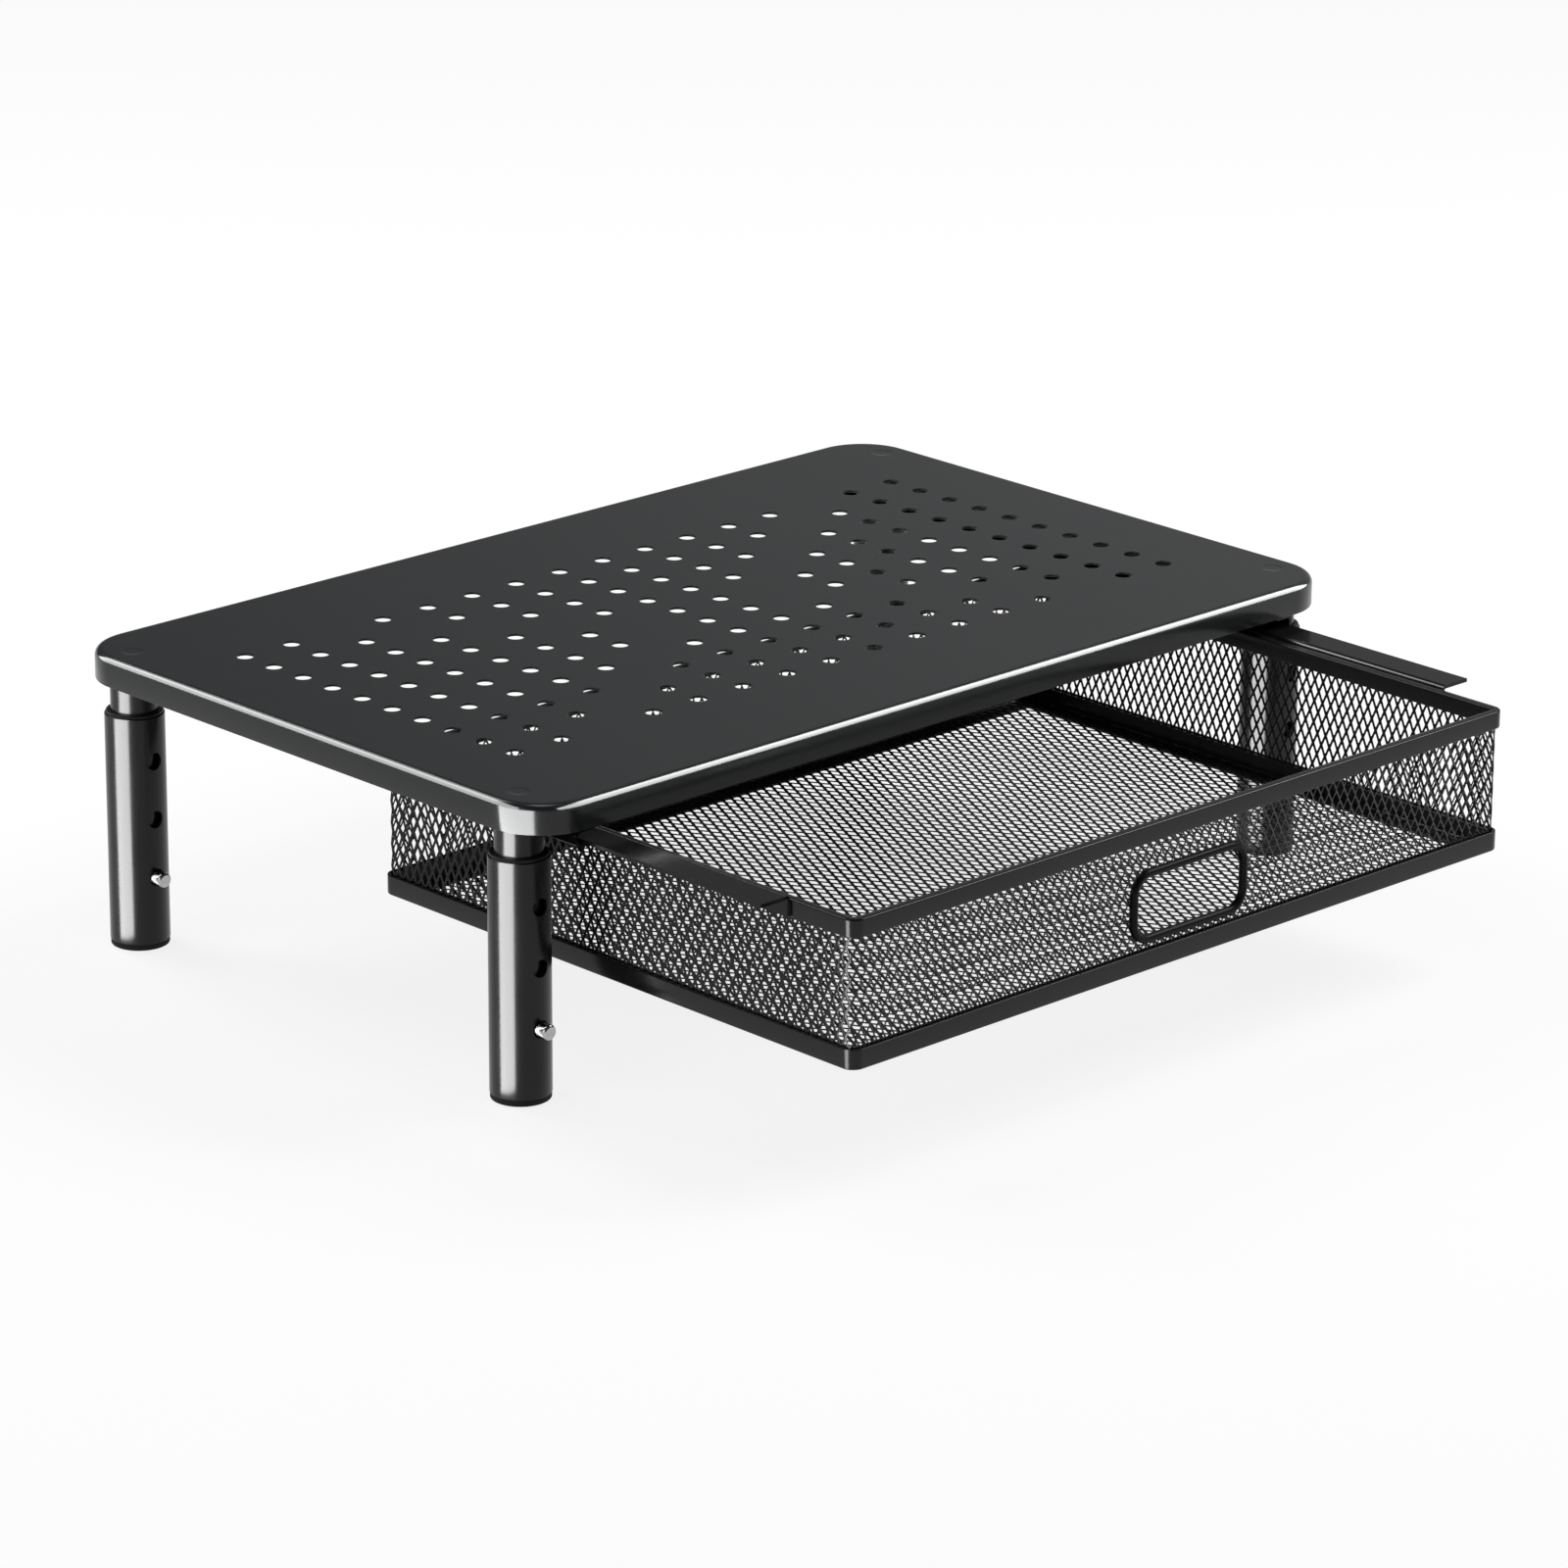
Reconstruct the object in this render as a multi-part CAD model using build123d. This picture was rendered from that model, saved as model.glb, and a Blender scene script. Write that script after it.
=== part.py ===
from build123d import *
from math import hypot, sqrt
import os

os.makedirs("parts", exist_ok=True)

# A monitor riser: a perforated steel platform on four telescoping legs, with a mesh drawer on rails.
# Millimetres. X is the width, -Y the front, Z up from the desk. The drawer stands half open.

# Platform, one pressed tray
PLATFORM_WIDTH = 370.0
PLATFORM_DEPTH = 234.0
PLATFORM_HEIGHT = 102.7  # top face above the desk at the lowest leg setting
PLATFORM_SHEET = 1.2
SKIRT_HEIGHT = 10.2
CORNER_RADIUS = 20.5
EDGE_RADIUS = 2.5

# Vent holes, with two blank chevrons among them
VENT_DIAMETER = 5.5
VENT_PITCH_X = 20.0
VENT_PITCH_Y = 15.0
VENT_MARGIN_X = 35.0
VENT_MARGIN_Y = 49.5
CHEVRON_START = 2  # vents left of the chevron in the front and rear rows

# Legs
POST_DIAMETER = 16.0
POST_WALL = 1.2
POST_TO_SKIRT = 1.6
LEG_INSET_Y = 20.3  # leg axis to the platform's front or rear edge
BUSH_CLEARANCE = 0.08
BUSH_WALL = 0.85
BUSH_DEPTH = 10.0
BUSH_LIP = 1.0
BUSH_LIP_INSET = 0.5
SLEEVE_WALL = 1.2
SLEEVE_TO_RAIL = 2.9
SLEEVE_CHAMFER = 0.5
SEAT_FIT = 0.03
FOOT_PAD = 2.0
FOOT_PLUG = 6.0
FOOT_INSET = 0.2
FOOT_ROUND = 0.6
POST_TO_FOOT = 2.0

# Height holes and the snap clips in them
HOLE_COUNT = 3
HOLE_STEP = 20.5
LOWEST_HOLE = 25.5
BUTTON_DIAMETER = 5.4
BUTTON_CLEARANCE = 0.3
BUTTON_PROUD = 4.4  # how far the button stands out of the sleeve
BUTTON_DOME = 2.2
CLIP_SHEET = 0.6
CLIP_WIDTH = 8.0
CLIP_CLEARANCE = 0.2
CLIP_FOOT = 7.5  # arm below the button
CLIP_STRAIGHT = 9.0  # arm above the button, before it leans in
CLIP_LEAN = 26.0
CLIP_BEND = 1.6

# Studs under the platform and the inserts that screw onto them
STUD_DIAMETER = 6.0
STUD_LENGTH = 13.0
STUD_CHAMFER = 0.8
STUD_CLEARANCE = 0.3
THREAD_FIT = 0.05
INSERT_HEIGHT = 11.0

# Rails, bent from sheet
RAIL_SHEET = 1.2
RAIL_BEND = 1.0  # inside radius
RAIL_TO_POST = 0.4
RAIL_TO_SKIRT = 1.8
RAIL_DROP = 15.6  # underside of the platform down to the underside of the rail
CHANNEL_HEIGHT = 6.0
NECK_INSET = 7.6  # outer face of the channel to the neck above it
RAIL_TOP_FLANGE = 9.0
RAIL_STOP_GAP = 0.3

# Drawer
DRAWER_OUT = 106.8  # from closed, where it is flush with the platform's front edge
DRAWER_BACK_GAP = 12.4
DRAWER_HEIGHT = 49.2
DRAWER_CORNER = 4.5
RIM_THICKNESS = 3.2
RIM_SKIN = 1.0
TOP_RIM_HEIGHT = 6.0
BOTTOM_RIM_HEIGHT = 6.7
RIM_ROUND = 0.6
LEDGE_WIDTH = 7.0
LEDGE_SHEET = 1.0

# Runners on the drawer's side rims
RUNNER_SHEET = 1.2
RUNNER_FLANGE = 12.5
RUNNER_LEG = 5.6
RUNNER_BEND = 0.6
RUNNER_SETBACK = 28.0
RUNNER_CLEARANCE = 0.3
RUNNER_SIDE_CLEARANCE = 1.1
LIP_CLEARANCE = 1.3

# Expanded mesh, drawn with larger diamonds than the real sheet's 3.75 by 7.5
MESH_SHEET = 0.9
MESH_FIT = 0.05
MESH_MARGIN = 1.2
WALL_SHORT_WAY = 12.0
WALL_LONG_WAY = 24.0
WALL_STRAND = 2.2
FLOOR_SHORT_WAY = 20.0
FLOOR_LONG_WAY = 40.0
FLOOR_STRAND = 3.2

# Beaded frame of the finger hole in the drawer front
HANDLE_WIDTH = 54.0
HANDLE_HEIGHT = 25.2
HANDLE_CORNER = 8.0
HANDLE_BEAD = 2.9
HANDLE_RISE = 21.3  # drawer bottom to the middle of the hole
HANDLE_MARGIN = 1.0

# Legs: radii from the post outwards, and heights
HALF_WIDTH = PLATFORM_WIDTH / 2
HALF_DEPTH = PLATFORM_DEPTH / 2
POST_RADIUS = POST_DIAMETER / 2
POST_BORE = POST_RADIUS - POST_WALL
BUSH_BORE = POST_RADIUS + BUSH_CLEARANCE
SLEEVE_BORE = BUSH_BORE + BUSH_WALL
SLEEVE_RADIUS = SLEEVE_BORE + SLEEVE_WALL
LEG_X = HALF_WIDTH - PLATFORM_SHEET - POST_TO_SKIRT - POST_RADIUS
LEG_Y = HALF_DEPTH - LEG_INSET_Y
UNDERSIDE = PLATFORM_HEIGHT - PLATFORM_SHEET
RAIL_BOTTOM = UNDERSIDE - RAIL_DROP
POST_TOP = UNDERSIDE - RAIL_SHEET
POST_BOTTOM = FOOT_PAD + FOOT_PLUG + POST_TO_FOOT
BUSH_TOP = RAIL_BOTTOM - SLEEVE_TO_RAIL
SLEEVE_TOP = BUSH_TOP - BUSH_LIP
HOLE_RADIUS = BUTTON_DIAMETER / 2 + BUTTON_CLEARANCE

# Rails and drawer: places worked out from the posts inwards and from the rails down
CHANNEL_X = LEG_X - POST_RADIUS - RAIL_TO_POST
DRAWER_X = CHANNEL_X - RAIL_SHEET - RUNNER_SIDE_CLEARANCE - RUNNER_FLANGE
LIP_X = DRAWER_X + RUNNER_SHEET + LIP_CLEARANCE
RAIL_END = HALF_DEPTH - PLATFORM_SHEET - RAIL_TO_SKIRT
FLANGE_BOTTOM = RAIL_BOTTOM + RAIL_SHEET + RUNNER_CLEARANCE
DRAWER_WIDTH = 2 * DRAWER_X
DRAWER_DEPTH = PLATFORM_DEPTH - DRAWER_BACK_GAP
DRAWER_FRONT = -HALF_DEPTH - DRAWER_OUT
DRAWER_Y = DRAWER_FRONT + DRAWER_DEPTH / 2
DRAWER_TOP = FLANGE_BOTTOM
DRAWER_BOTTOM = DRAWER_TOP - DRAWER_HEIGHT
RUNNER_REAR = DRAWER_FRONT + DRAWER_DEPTH
RUNNER_LENGTH = DRAWER_DEPTH - RUNNER_SETBACK
MESH_INSET = RIM_THICKNESS / 2
MESH_BEND = DRAWER_CORNER - MESH_INSET
GROOVE = MESH_SHEET + 2 * MESH_FIT
GROOVE_BOTTOM = DRAWER_BOTTOM + RIM_SKIN
WALL_LOW = DRAWER_BOTTOM + BOTTOM_RIM_HEIGHT
WALL_HIGH = DRAWER_TOP - TOP_RIM_HEIGHT
MESH_TOP = DRAWER_TOP - RIM_SKIN - MESH_FIT

# The origin is on the desk, under the middle of the whole object with its drawer half open
ORIGIN = Pos(0, DRAWER_OUT / 2, 0)
CORNERS = {
    "front_left": (-1, -1),
    "front_right": (1, -1),
    "rear_left": (-1, 1),
    "rear_right": (1, 1),
}


def save(name, shape):
    """Write one piece, moved to the object's origin."""
    export_step(ORIGIN * shape, f"parts/{name}.step")


def at_leg(corner, shape):
    """Stand a piece that is drawn on the Z axis on the axis of one leg."""
    side_x, side_y = CORNERS[corner]
    return Pos(side_x * LEG_X, side_y * LEG_Y, 0) * shape


def tube(outer, inner, low, high):
    """A round tube on the Z axis between two heights."""
    return Pos(0, 0, low) * extrude(Circle(outer) - Circle(inner), high - low)


def bent_strip(points, sheet, bend, length):
    """A sheet strip whose section runs through X, Z points, from Y = 0 to Y = -length."""
    middle = FilletPolyline(*points, radius=bend + sheet / 2)
    return extrude(Plane.XZ * trace(middle, sheet), length)


def pan(width, depth, corner, edge, top, height):
    """A block with rounded corners and a rounded top edge."""
    block = Pos(0, 0, top - height) * extrude(RectangleRounded(width, depth, corner), height)
    return fillet(block.faces().sort_by(Axis.Z)[-1].edges(), edge)


def vent_places():
    """Centres of the vents. In each row one vent is left out on both halves, which draws the chevrons."""
    columns = int((PLATFORM_WIDTH - 2 * VENT_MARGIN_X) / VENT_PITCH_X + 1e-6) + 1
    rows = int((PLATFORM_DEPTH - 2 * VENT_MARGIN_Y) / VENT_PITCH_Y + 1e-6) + 1
    places = []
    for row in range(rows):
        blank = CHEVRON_START + min(row, rows - 1 - row)
        for column in range(columns):
            if column not in (blank, columns - 1 - blank):
                x = (column - (columns - 1) / 2) * VENT_PITCH_X
                y = (row - (rows - 1) / 2) * VENT_PITCH_Y
                places.append((x, y))
    return places


def platform():
    """Pressed tray: flat top, turned-down skirt, round vents."""
    outside = pan(PLATFORM_WIDTH, PLATFORM_DEPTH, CORNER_RADIUS, EDGE_RADIUS, PLATFORM_HEIGHT, SKIRT_HEIGHT)
    hollow = pan(
        PLATFORM_WIDTH - 2 * PLATFORM_SHEET,
        PLATFORM_DEPTH - 2 * PLATFORM_SHEET,
        CORNER_RADIUS - PLATFORM_SHEET,
        EDGE_RADIUS - PLATFORM_SHEET,
        UNDERSIDE,
        SKIRT_HEIGHT - PLATFORM_SHEET,
    )
    vent = Pos(0, 0, UNDERSIDE) * extrude(Circle(VENT_DIAMETER / 2), PLATFORM_SHEET)
    return outside - hollow - [Pos(x, y, 0) * vent for x, y in vent_places()]


def stud():
    """Threaded stud, welded to the platform's underside."""
    shank = Pos(0, 0, UNDERSIDE - STUD_LENGTH) * extrude(Circle(STUD_DIAMETER / 2), STUD_LENGTH)
    return chamfer(shank.edges().sort_by(Axis.Z)[0], STUD_CHAMFER)


def post_insert():
    """Threaded plug in the top of a post."""
    return tube(POST_BORE - SEAT_FIT, STUD_DIAMETER / 2 + THREAD_FIT, POST_TOP - INSERT_HEIGHT, POST_TOP)


def front_hole(radius, height, reach):
    """A round bar from the leg's axis out through its front, to cut a hole or make a button."""
    return Pos(0, 0, height) * extrude(Plane.XZ * Circle(radius), reach)


def leg_post():
    """Upper tube, with the hole that its button passes through."""
    return tube(POST_RADIUS, POST_BORE, POST_BOTTOM, POST_TOP) - front_hole(HOLE_RADIUS, LOWEST_HOLE, POST_DIAMETER)


def leg_sleeve():
    """Lower tube, with a row of height holes in its front."""
    sleeve = tube(SLEEVE_RADIUS, SLEEVE_BORE, FOOT_PAD, SLEEVE_TOP)
    rims = [ring.edges().sort_by(SortBy.LENGTH)[-1] for ring in sleeve.faces().filter_by(Axis.Z)]
    sleeve = chamfer(rims, SLEEVE_CHAMFER)
    heights = [LOWEST_HOLE + step * HOLE_STEP for step in range(HOLE_COUNT)]
    return sleeve - [front_hole(HOLE_RADIUS, height, 2 * SLEEVE_RADIUS) for height in heights]


def guide_bush():
    """Bush pressed into the top of the sleeve, with a thin lip over its rim."""
    body = tube(SLEEVE_BORE - SEAT_FIT, BUSH_BORE, SLEEVE_TOP - BUSH_DEPTH, BUSH_TOP)
    lip = tube(SLEEVE_RADIUS - BUSH_LIP_INSET, BUSH_BORE, SLEEVE_TOP, BUSH_TOP)
    bush = body + lip
    outer_edge = bush.faces().sort_by(Axis.Z)[-1].edges().sort_by(SortBy.LENGTH)[-1]
    return chamfer(outer_edge, BUSH_LIP / 2)


def rubber_foot():
    """Rubber pad under the sleeve, held by a plug inside it."""
    pad = extrude(Circle(SLEEVE_RADIUS - FOOT_INSET), FOOT_PAD)
    pad = fillet(pad.edges().sort_by(Axis.Z)[0], FOOT_ROUND)
    return pad + Pos(0, 0, FOOT_PAD) * extrude(Circle(SLEEVE_BORE - SEAT_FIT), FOOT_PLUG)


def snap_clip():
    """One-piece leaf spring: a V whose front arm carries the domed button."""
    arm = sqrt(POST_BORE**2 - (CLIP_WIDTH / 2) ** 2) - CLIP_CLEARANCE - CLIP_SHEET / 2
    low = LOWEST_HOLE - CLIP_FOOT
    knee = LOWEST_HOLE + CLIP_STRAIGHT
    crown = knee + CLIP_LEAN
    front_half = [(-arm, low), (-arm, knee), (-CLIP_BEND, crown)]
    rear_half = [(CLIP_BEND, crown), (arm, knee), (arm, low)]
    leaf = trace(FilletPolyline(*front_half, *rear_half, radius=CLIP_BEND), CLIP_SHEET)
    strip = extrude(Plane.YZ * leaf, CLIP_WIDTH / 2, both=True)
    button = front_hole(BUTTON_DIAMETER / 2, LOWEST_HOLE, SLEEVE_RADIUS + BUTTON_PROUD)
    button = fillet(button.edges().sort_by(Axis.Y)[0], BUTTON_DOME)
    return strip + split(button, Plane.XZ.offset(arm), keep=Keep.TOP)


def rail():
    """Right rail: a channel for the runner, a neck up to the platform, two ears under the posts."""
    half = RAIL_SHEET / 2
    side = CHANNEL_X - half
    neck = CHANNEL_X - NECK_INSET - half
    floor = RAIL_BOTTOM + half
    roof = RAIL_BOTTOM + CHANNEL_HEIGHT - half
    top = UNDERSIDE - half
    section = [(LIP_X, floor), (side, floor), (side, roof), (neck, roof), (neck, top), (neck + RAIL_TOP_FLANGE, top)]
    strip = Pos(0, RAIL_END, 0) * bent_strip(section, RAIL_SHEET, RAIL_BEND, 2 * RAIL_END)
    ear_start = neck + RAIL_TOP_FLANGE / 2
    ear = Pos(LEG_X, 0) * Circle(POST_RADIUS)
    ear += Pos((ear_start + LEG_X) / 2, 0) * Rectangle(LEG_X - ear_start, POST_DIAMETER)
    ear -= Pos(LEG_X, 0) * Circle(STUD_DIAMETER / 2 + STUD_CLEARANCE)
    ear = Pos(0, 0, POST_TOP) * extrude(ear, RAIL_SHEET)
    stop_width = CHANNEL_X - LIP_X
    stop_y = RUNNER_REAR + DRAWER_OUT + RAIL_STOP_GAP + half
    stop = Pos(LIP_X + stop_width / 2, stop_y, RAIL_BOTTOM + CHANNEL_HEIGHT / 2)
    stop *= Box(stop_width, RAIL_SHEET, CHANNEL_HEIGHT)
    return strip + [Pos(0, y, 0) * ear for y in (-LEG_Y, LEG_Y)] + stop


def runner():
    """Right runner: an angle on the rim's outer side, whose flange rides in the rail."""
    half = RUNNER_SHEET / 2
    inner = DRAWER_X + half
    flange = FLANGE_BOTTOM + half
    section = [(inner, FLANGE_BOTTOM - RUNNER_LEG), (inner, flange), (DRAWER_X + RUNNER_FLANGE, flange)]
    return Pos(0, RUNNER_REAR, 0) * bent_strip(section, RUNNER_SHEET, RUNNER_BEND, RUNNER_LENGTH)


def drawer_ring(outer_inset, inner_inset, low, high):
    """A band round the drawer between two insets from its outside."""
    outer = RectangleRounded(
        DRAWER_WIDTH - 2 * outer_inset, DRAWER_DEPTH - 2 * outer_inset, DRAWER_CORNER - outer_inset
    )
    inner_corner = max(DRAWER_CORNER - inner_inset, RIM_ROUND)
    inner = RectangleRounded(DRAWER_WIDTH - 2 * inner_inset, DRAWER_DEPTH - 2 * inner_inset, inner_corner)
    return Pos(0, DRAWER_Y, low) * extrude(outer - inner, high - low)


def mesh_groove(low, high):
    """The slot in a rim that the wall mesh sits in."""
    return drawer_ring(MESH_INSET - GROOVE / 2, MESH_INSET + GROOVE / 2, low, high)


def drawer_top_rim():
    """Folded band over the top edge of the wall mesh."""
    rim = drawer_ring(0, RIM_THICKNESS, WALL_HIGH, DRAWER_TOP)
    outline = rim.faces().sort_by(Axis.Z)[-1].outer_wire()
    return fillet(outline.edges(), RIM_ROUND) - mesh_groove(WALL_HIGH, DRAWER_TOP - RIM_SKIN)


def drawer_bottom_rim():
    """Folded band under the wall mesh, with a ledge that carries the floor mesh."""
    rim = drawer_ring(0, RIM_THICKNESS, DRAWER_BOTTOM, WALL_LOW)
    outline = rim.faces().sort_by(Axis.Z)[0].outer_wire()
    rim = fillet(outline.edges(), RIM_ROUND) - mesh_groove(GROOVE_BOTTOM, WALL_LOW)
    ledge_edge = RIM_THICKNESS + LEDGE_WIDTH
    return rim + drawer_ring(RIM_THICKNESS / 2, ledge_edge, DRAWER_BOTTOM, DRAWER_BOTTOM + LEDGE_SHEET)


def diamond_gaps(width, height, short_way, long_way, strand):
    """Diamond openings of expanded metal, cut off at the edges of a window."""
    columns = round(width / short_way)
    short_way = width / columns
    corner_distance = short_way * long_way / (2 * hypot(short_way, long_way))
    share = 1 - strand / (2 * corner_distance)
    half_short = share * short_way / 2
    half_long = share * long_way / 2
    gap = Polygon((half_short, 0), (0, half_long), (-half_short, 0), (0, -half_long), align=None)
    last_row = int(height / long_way + 1e-6)
    gaps = []
    for row in range(-last_row, last_row + 1):
        shifted = row % 2
        for column in range(columns + shifted):
            x = (column - (columns - 1 + shifted) / 2) * short_way
            gaps.append(Pos(x, row * long_way / 2) * gap)
    return Sketch() + gaps & Rectangle(width, height)


def wall_net(length, gaps):
    """A flat wall panel on the XZ plane, from groove to groove."""
    sheet = Pos(0, (GROOVE_BOTTOM + MESH_TOP) / 2) * Rectangle(length, MESH_TOP - GROOVE_BOTTOM)
    net = Plane.XZ * (sheet - gaps)
    return extrude(net, MESH_SHEET / 2, both=True)


def wall_gaps(length):
    """Diamonds of one wall between the two rims."""
    window = length - 2 * MESH_MARGIN
    gaps = diamond_gaps(window, WALL_HIGH - WALL_LOW, WALL_SHORT_WAY, WALL_LONG_WAY, WALL_STRAND)
    return Pos(0, (WALL_LOW + WALL_HIGH) / 2) * gaps


def handle_outline(growth):
    """Outline of the finger hole's frame, grown on every side."""
    return Pos(0, DRAWER_BOTTOM + HANDLE_RISE) * RectangleRounded(
        HANDLE_WIDTH + 2 * growth, HANDLE_HEIGHT + 2 * growth, HANDLE_CORNER + growth
    )


def mesh_corner():
    """Quarter bend that the wall mesh makes round a drawer corner, from +X to +Y."""
    outer = MESH_BEND + MESH_SHEET / 2
    bend = Circle(outer) - Circle(MESH_BEND - MESH_SHEET / 2)
    bend &= Pos(outer / 2, outer / 2) * Rectangle(outer, outer)
    return Pos(0, 0, GROOVE_BOTTOM) * extrude(bend, MESH_TOP - GROOVE_BOTTOM)


def bent_wall(net):
    """A rear wall on its plane, with the bends at both of its ends."""
    end = DRAWER_X - DRAWER_CORNER
    corner = Pos(end, -MESH_BEND, 0) * mesh_corner()
    return net + corner + mirror(corner, about=Plane.YZ)


def mesh_front():
    """Front wall, cut out inside the beaded frame."""
    length = DRAWER_WIDTH - 2 * DRAWER_CORNER
    gaps = wall_gaps(length) - handle_outline(HANDLE_MARGIN) + handle_outline(-HANDLE_BEAD / 2)
    wall = mirror(bent_wall(wall_net(length, gaps)), about=Plane.XZ)
    return Pos(0, DRAWER_FRONT + MESH_INSET, 0) * wall


def mesh_back():
    """Rear wall with its bends."""
    length = DRAWER_WIDTH - 2 * DRAWER_CORNER
    return Pos(0, RUNNER_REAR - MESH_INSET, 0) * bent_wall(wall_net(length, wall_gaps(length)))


def mesh_side():
    """Right wall, flat between the bends of the front and rear walls."""
    length = DRAWER_DEPTH - 2 * DRAWER_CORNER - 2 * MESH_FIT
    wall = Rot(0, 0, 90) * wall_net(length, wall_gaps(length))
    return Pos(DRAWER_X - MESH_INSET, DRAWER_Y, 0) * wall


def mesh_floor():
    """Floor panel on the bottom rim's ledge."""
    edge = RIM_THICKNESS + MESH_FIT
    window = RIM_THICKNESS + LEDGE_WIDTH
    sheet = RectangleRounded(DRAWER_WIDTH - 2 * edge, DRAWER_DEPTH - 2 * edge, DRAWER_CORNER - edge)
    width = DRAWER_WIDTH - 2 * window
    depth = DRAWER_DEPTH - 2 * window
    rows = round(depth / FLOOR_LONG_WAY)
    gaps = diamond_gaps(width, depth, FLOOR_SHORT_WAY, depth / rows, FLOOR_STRAND)
    return Pos(0, DRAWER_Y, DRAWER_BOTTOM + LEDGE_SHEET) * extrude(sheet - gaps, MESH_SHEET)


def handle_frame():
    """Round bead that grips the cut edge of the front mesh."""
    path = Plane.XZ * handle_outline(-HANDLE_BEAD / 2)
    path = path.wire()
    bead = sweep(Plane(path @ 0, z_dir=path % 0) * Circle(HANDLE_BEAD / 2), path)
    slot = handle_outline(HANDLE_MARGIN) - handle_outline(-HANDLE_BEAD / 2 - MESH_FIT)
    bead -= extrude(Plane.XZ * slot, GROOVE / 2, both=True)
    return Pos(0, DRAWER_FRONT + MESH_INSET, 0) * bead


def build_platform():
    """The fixed pieces: platform, rails, studs, posts and their inserts."""
    save("platform", platform())
    right_rail = rail()
    save("rail_right", right_rail)
    save("rail_left", mirror(right_rail, about=Plane.YZ))
    save("leg_studs", Compound([at_leg(corner, stud()) for corner in CORNERS]))
    save("post_inserts", Compound([at_leg(corner, post_insert()) for corner in CORNERS]))


def build_legs():
    """The four legs, each with its post, sleeve, bush, foot and snap clip."""
    pieces = {
        "leg_post": leg_post(),
        "leg_sleeve": leg_sleeve(),
        "guide_bush": guide_bush(),
        "rubber_foot": rubber_foot(),
        "snap_clip": snap_clip(),
    }
    for corner in CORNERS:
        for name, piece in pieces.items():
            save(f"{name}_{corner}", at_leg(corner, piece))


def build_drawer():
    """The sliding drawer: rims, mesh, finger hole frame and runners."""
    save("drawer_top_rim", drawer_top_rim())
    save("drawer_bottom_rim", drawer_bottom_rim())
    save("mesh_front", mesh_front())
    save("mesh_back", mesh_back())
    save("mesh_floor", mesh_floor())
    save("handle_frame", handle_frame())
    for name, piece in (("mesh", mesh_side()), ("runner", runner())):
        save(f"{name}_right", piece)
        save(f"{name}_left", mirror(piece, about=Plane.YZ))


build_platform()
build_legs()
build_drawer()
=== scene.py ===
"""Looks of a monitor riser with a sliding mesh drawer, dressed around its CAD frame."""

from math import cos, hypot, pi, radians, sin

import bmesh
import bpy
from bpy.props import FloatProperty, FloatVectorProperty, IntProperty, PointerProperty
from bpy.types import Operator, Panel, PropertyGroup
from mathutils import Matrix, Vector


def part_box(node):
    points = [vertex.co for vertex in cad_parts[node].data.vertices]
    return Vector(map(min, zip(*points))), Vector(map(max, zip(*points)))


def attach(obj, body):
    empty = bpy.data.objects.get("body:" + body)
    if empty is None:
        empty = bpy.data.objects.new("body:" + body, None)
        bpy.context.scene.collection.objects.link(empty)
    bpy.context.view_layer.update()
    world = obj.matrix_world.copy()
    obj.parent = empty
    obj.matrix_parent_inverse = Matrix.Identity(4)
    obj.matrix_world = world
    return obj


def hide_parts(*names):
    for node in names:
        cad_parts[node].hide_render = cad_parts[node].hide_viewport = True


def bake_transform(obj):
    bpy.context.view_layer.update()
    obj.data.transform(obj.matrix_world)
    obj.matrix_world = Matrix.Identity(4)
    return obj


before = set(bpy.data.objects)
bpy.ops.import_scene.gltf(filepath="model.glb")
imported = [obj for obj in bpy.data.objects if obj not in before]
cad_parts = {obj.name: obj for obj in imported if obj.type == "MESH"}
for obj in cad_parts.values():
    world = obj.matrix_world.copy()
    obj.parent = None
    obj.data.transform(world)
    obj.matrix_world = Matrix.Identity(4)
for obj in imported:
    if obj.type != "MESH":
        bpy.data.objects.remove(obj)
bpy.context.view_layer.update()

bl_info = {
    "name": "Monitor riser",
    "version": (1, 0, 0),
    "blender": (4, 5, 0),
    "location": "View3D > Sidebar > Riser",
    "description": "Dresses the frame of a monitor riser with its sheet metal, mesh and finishes",
    "category": "Object",
}

MM = 0.001
CORNERS = ("front_left", "front_right", "rear_left", "rear_right")
SUPPORT = 0.12 * MM  # flat ring that keeps the shading of a rounded edge off the flat beside it
WELD = 1e-7  # points closer than this become one
SEAT_FIT = 0.03 * MM  # how much smaller a bush or foot is than the tube it sits in
RIM_HEM = 0.3 * MM  # rounding of the cut edges of the drawer's rims
MARK_INSIDE = 2.2 * MM  # radius of a weld mark's flat middle
MARK_OUTSIDE = 4.2 * MM  # radius at which a weld mark ends
MARK_DEPTH = 0.10 * MM
COAT_DEPTH = 0.002  # height of a sprayed coat's grain, in millimetres
# Grains per metre and shine of each sprayed coat
SPRAYED = {
    "tray": (2200.0, 0.3),
    "leg": (900.0, 0.25),
    "drawer": (1800.0, 0.25),
    "bead": (1800.0, 0.1),
    "strand": (1800.0, 0.25),
    "rail": (1800.0, 0.2),
}
FLOOR_REACH = 14.0  # half the width of the floor, in metres
FLOOR_DROP = 0.4 * MM  # how far the floor lies under the feet


def length(name, description, millimetres):
    """A size that a user can change."""
    return FloatProperty(
        name=name, description=description, default=millimetres * MM, unit="LENGTH", precision=4
    )


def colour(name, description, red, green, blue):
    """A finish colour that a user can change."""
    return FloatVectorProperty(
        name=name, description=description, default=(red, green, blue),
        subtype="COLOR", size=3, min=0, max=1,
    )


def share(name, description, default):
    """A plain number from 0 to 1 that a user can change."""
    return FloatProperty(
        name=name, description=description, default=default, min=0, max=1, subtype="FACTOR"
    )


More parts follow.
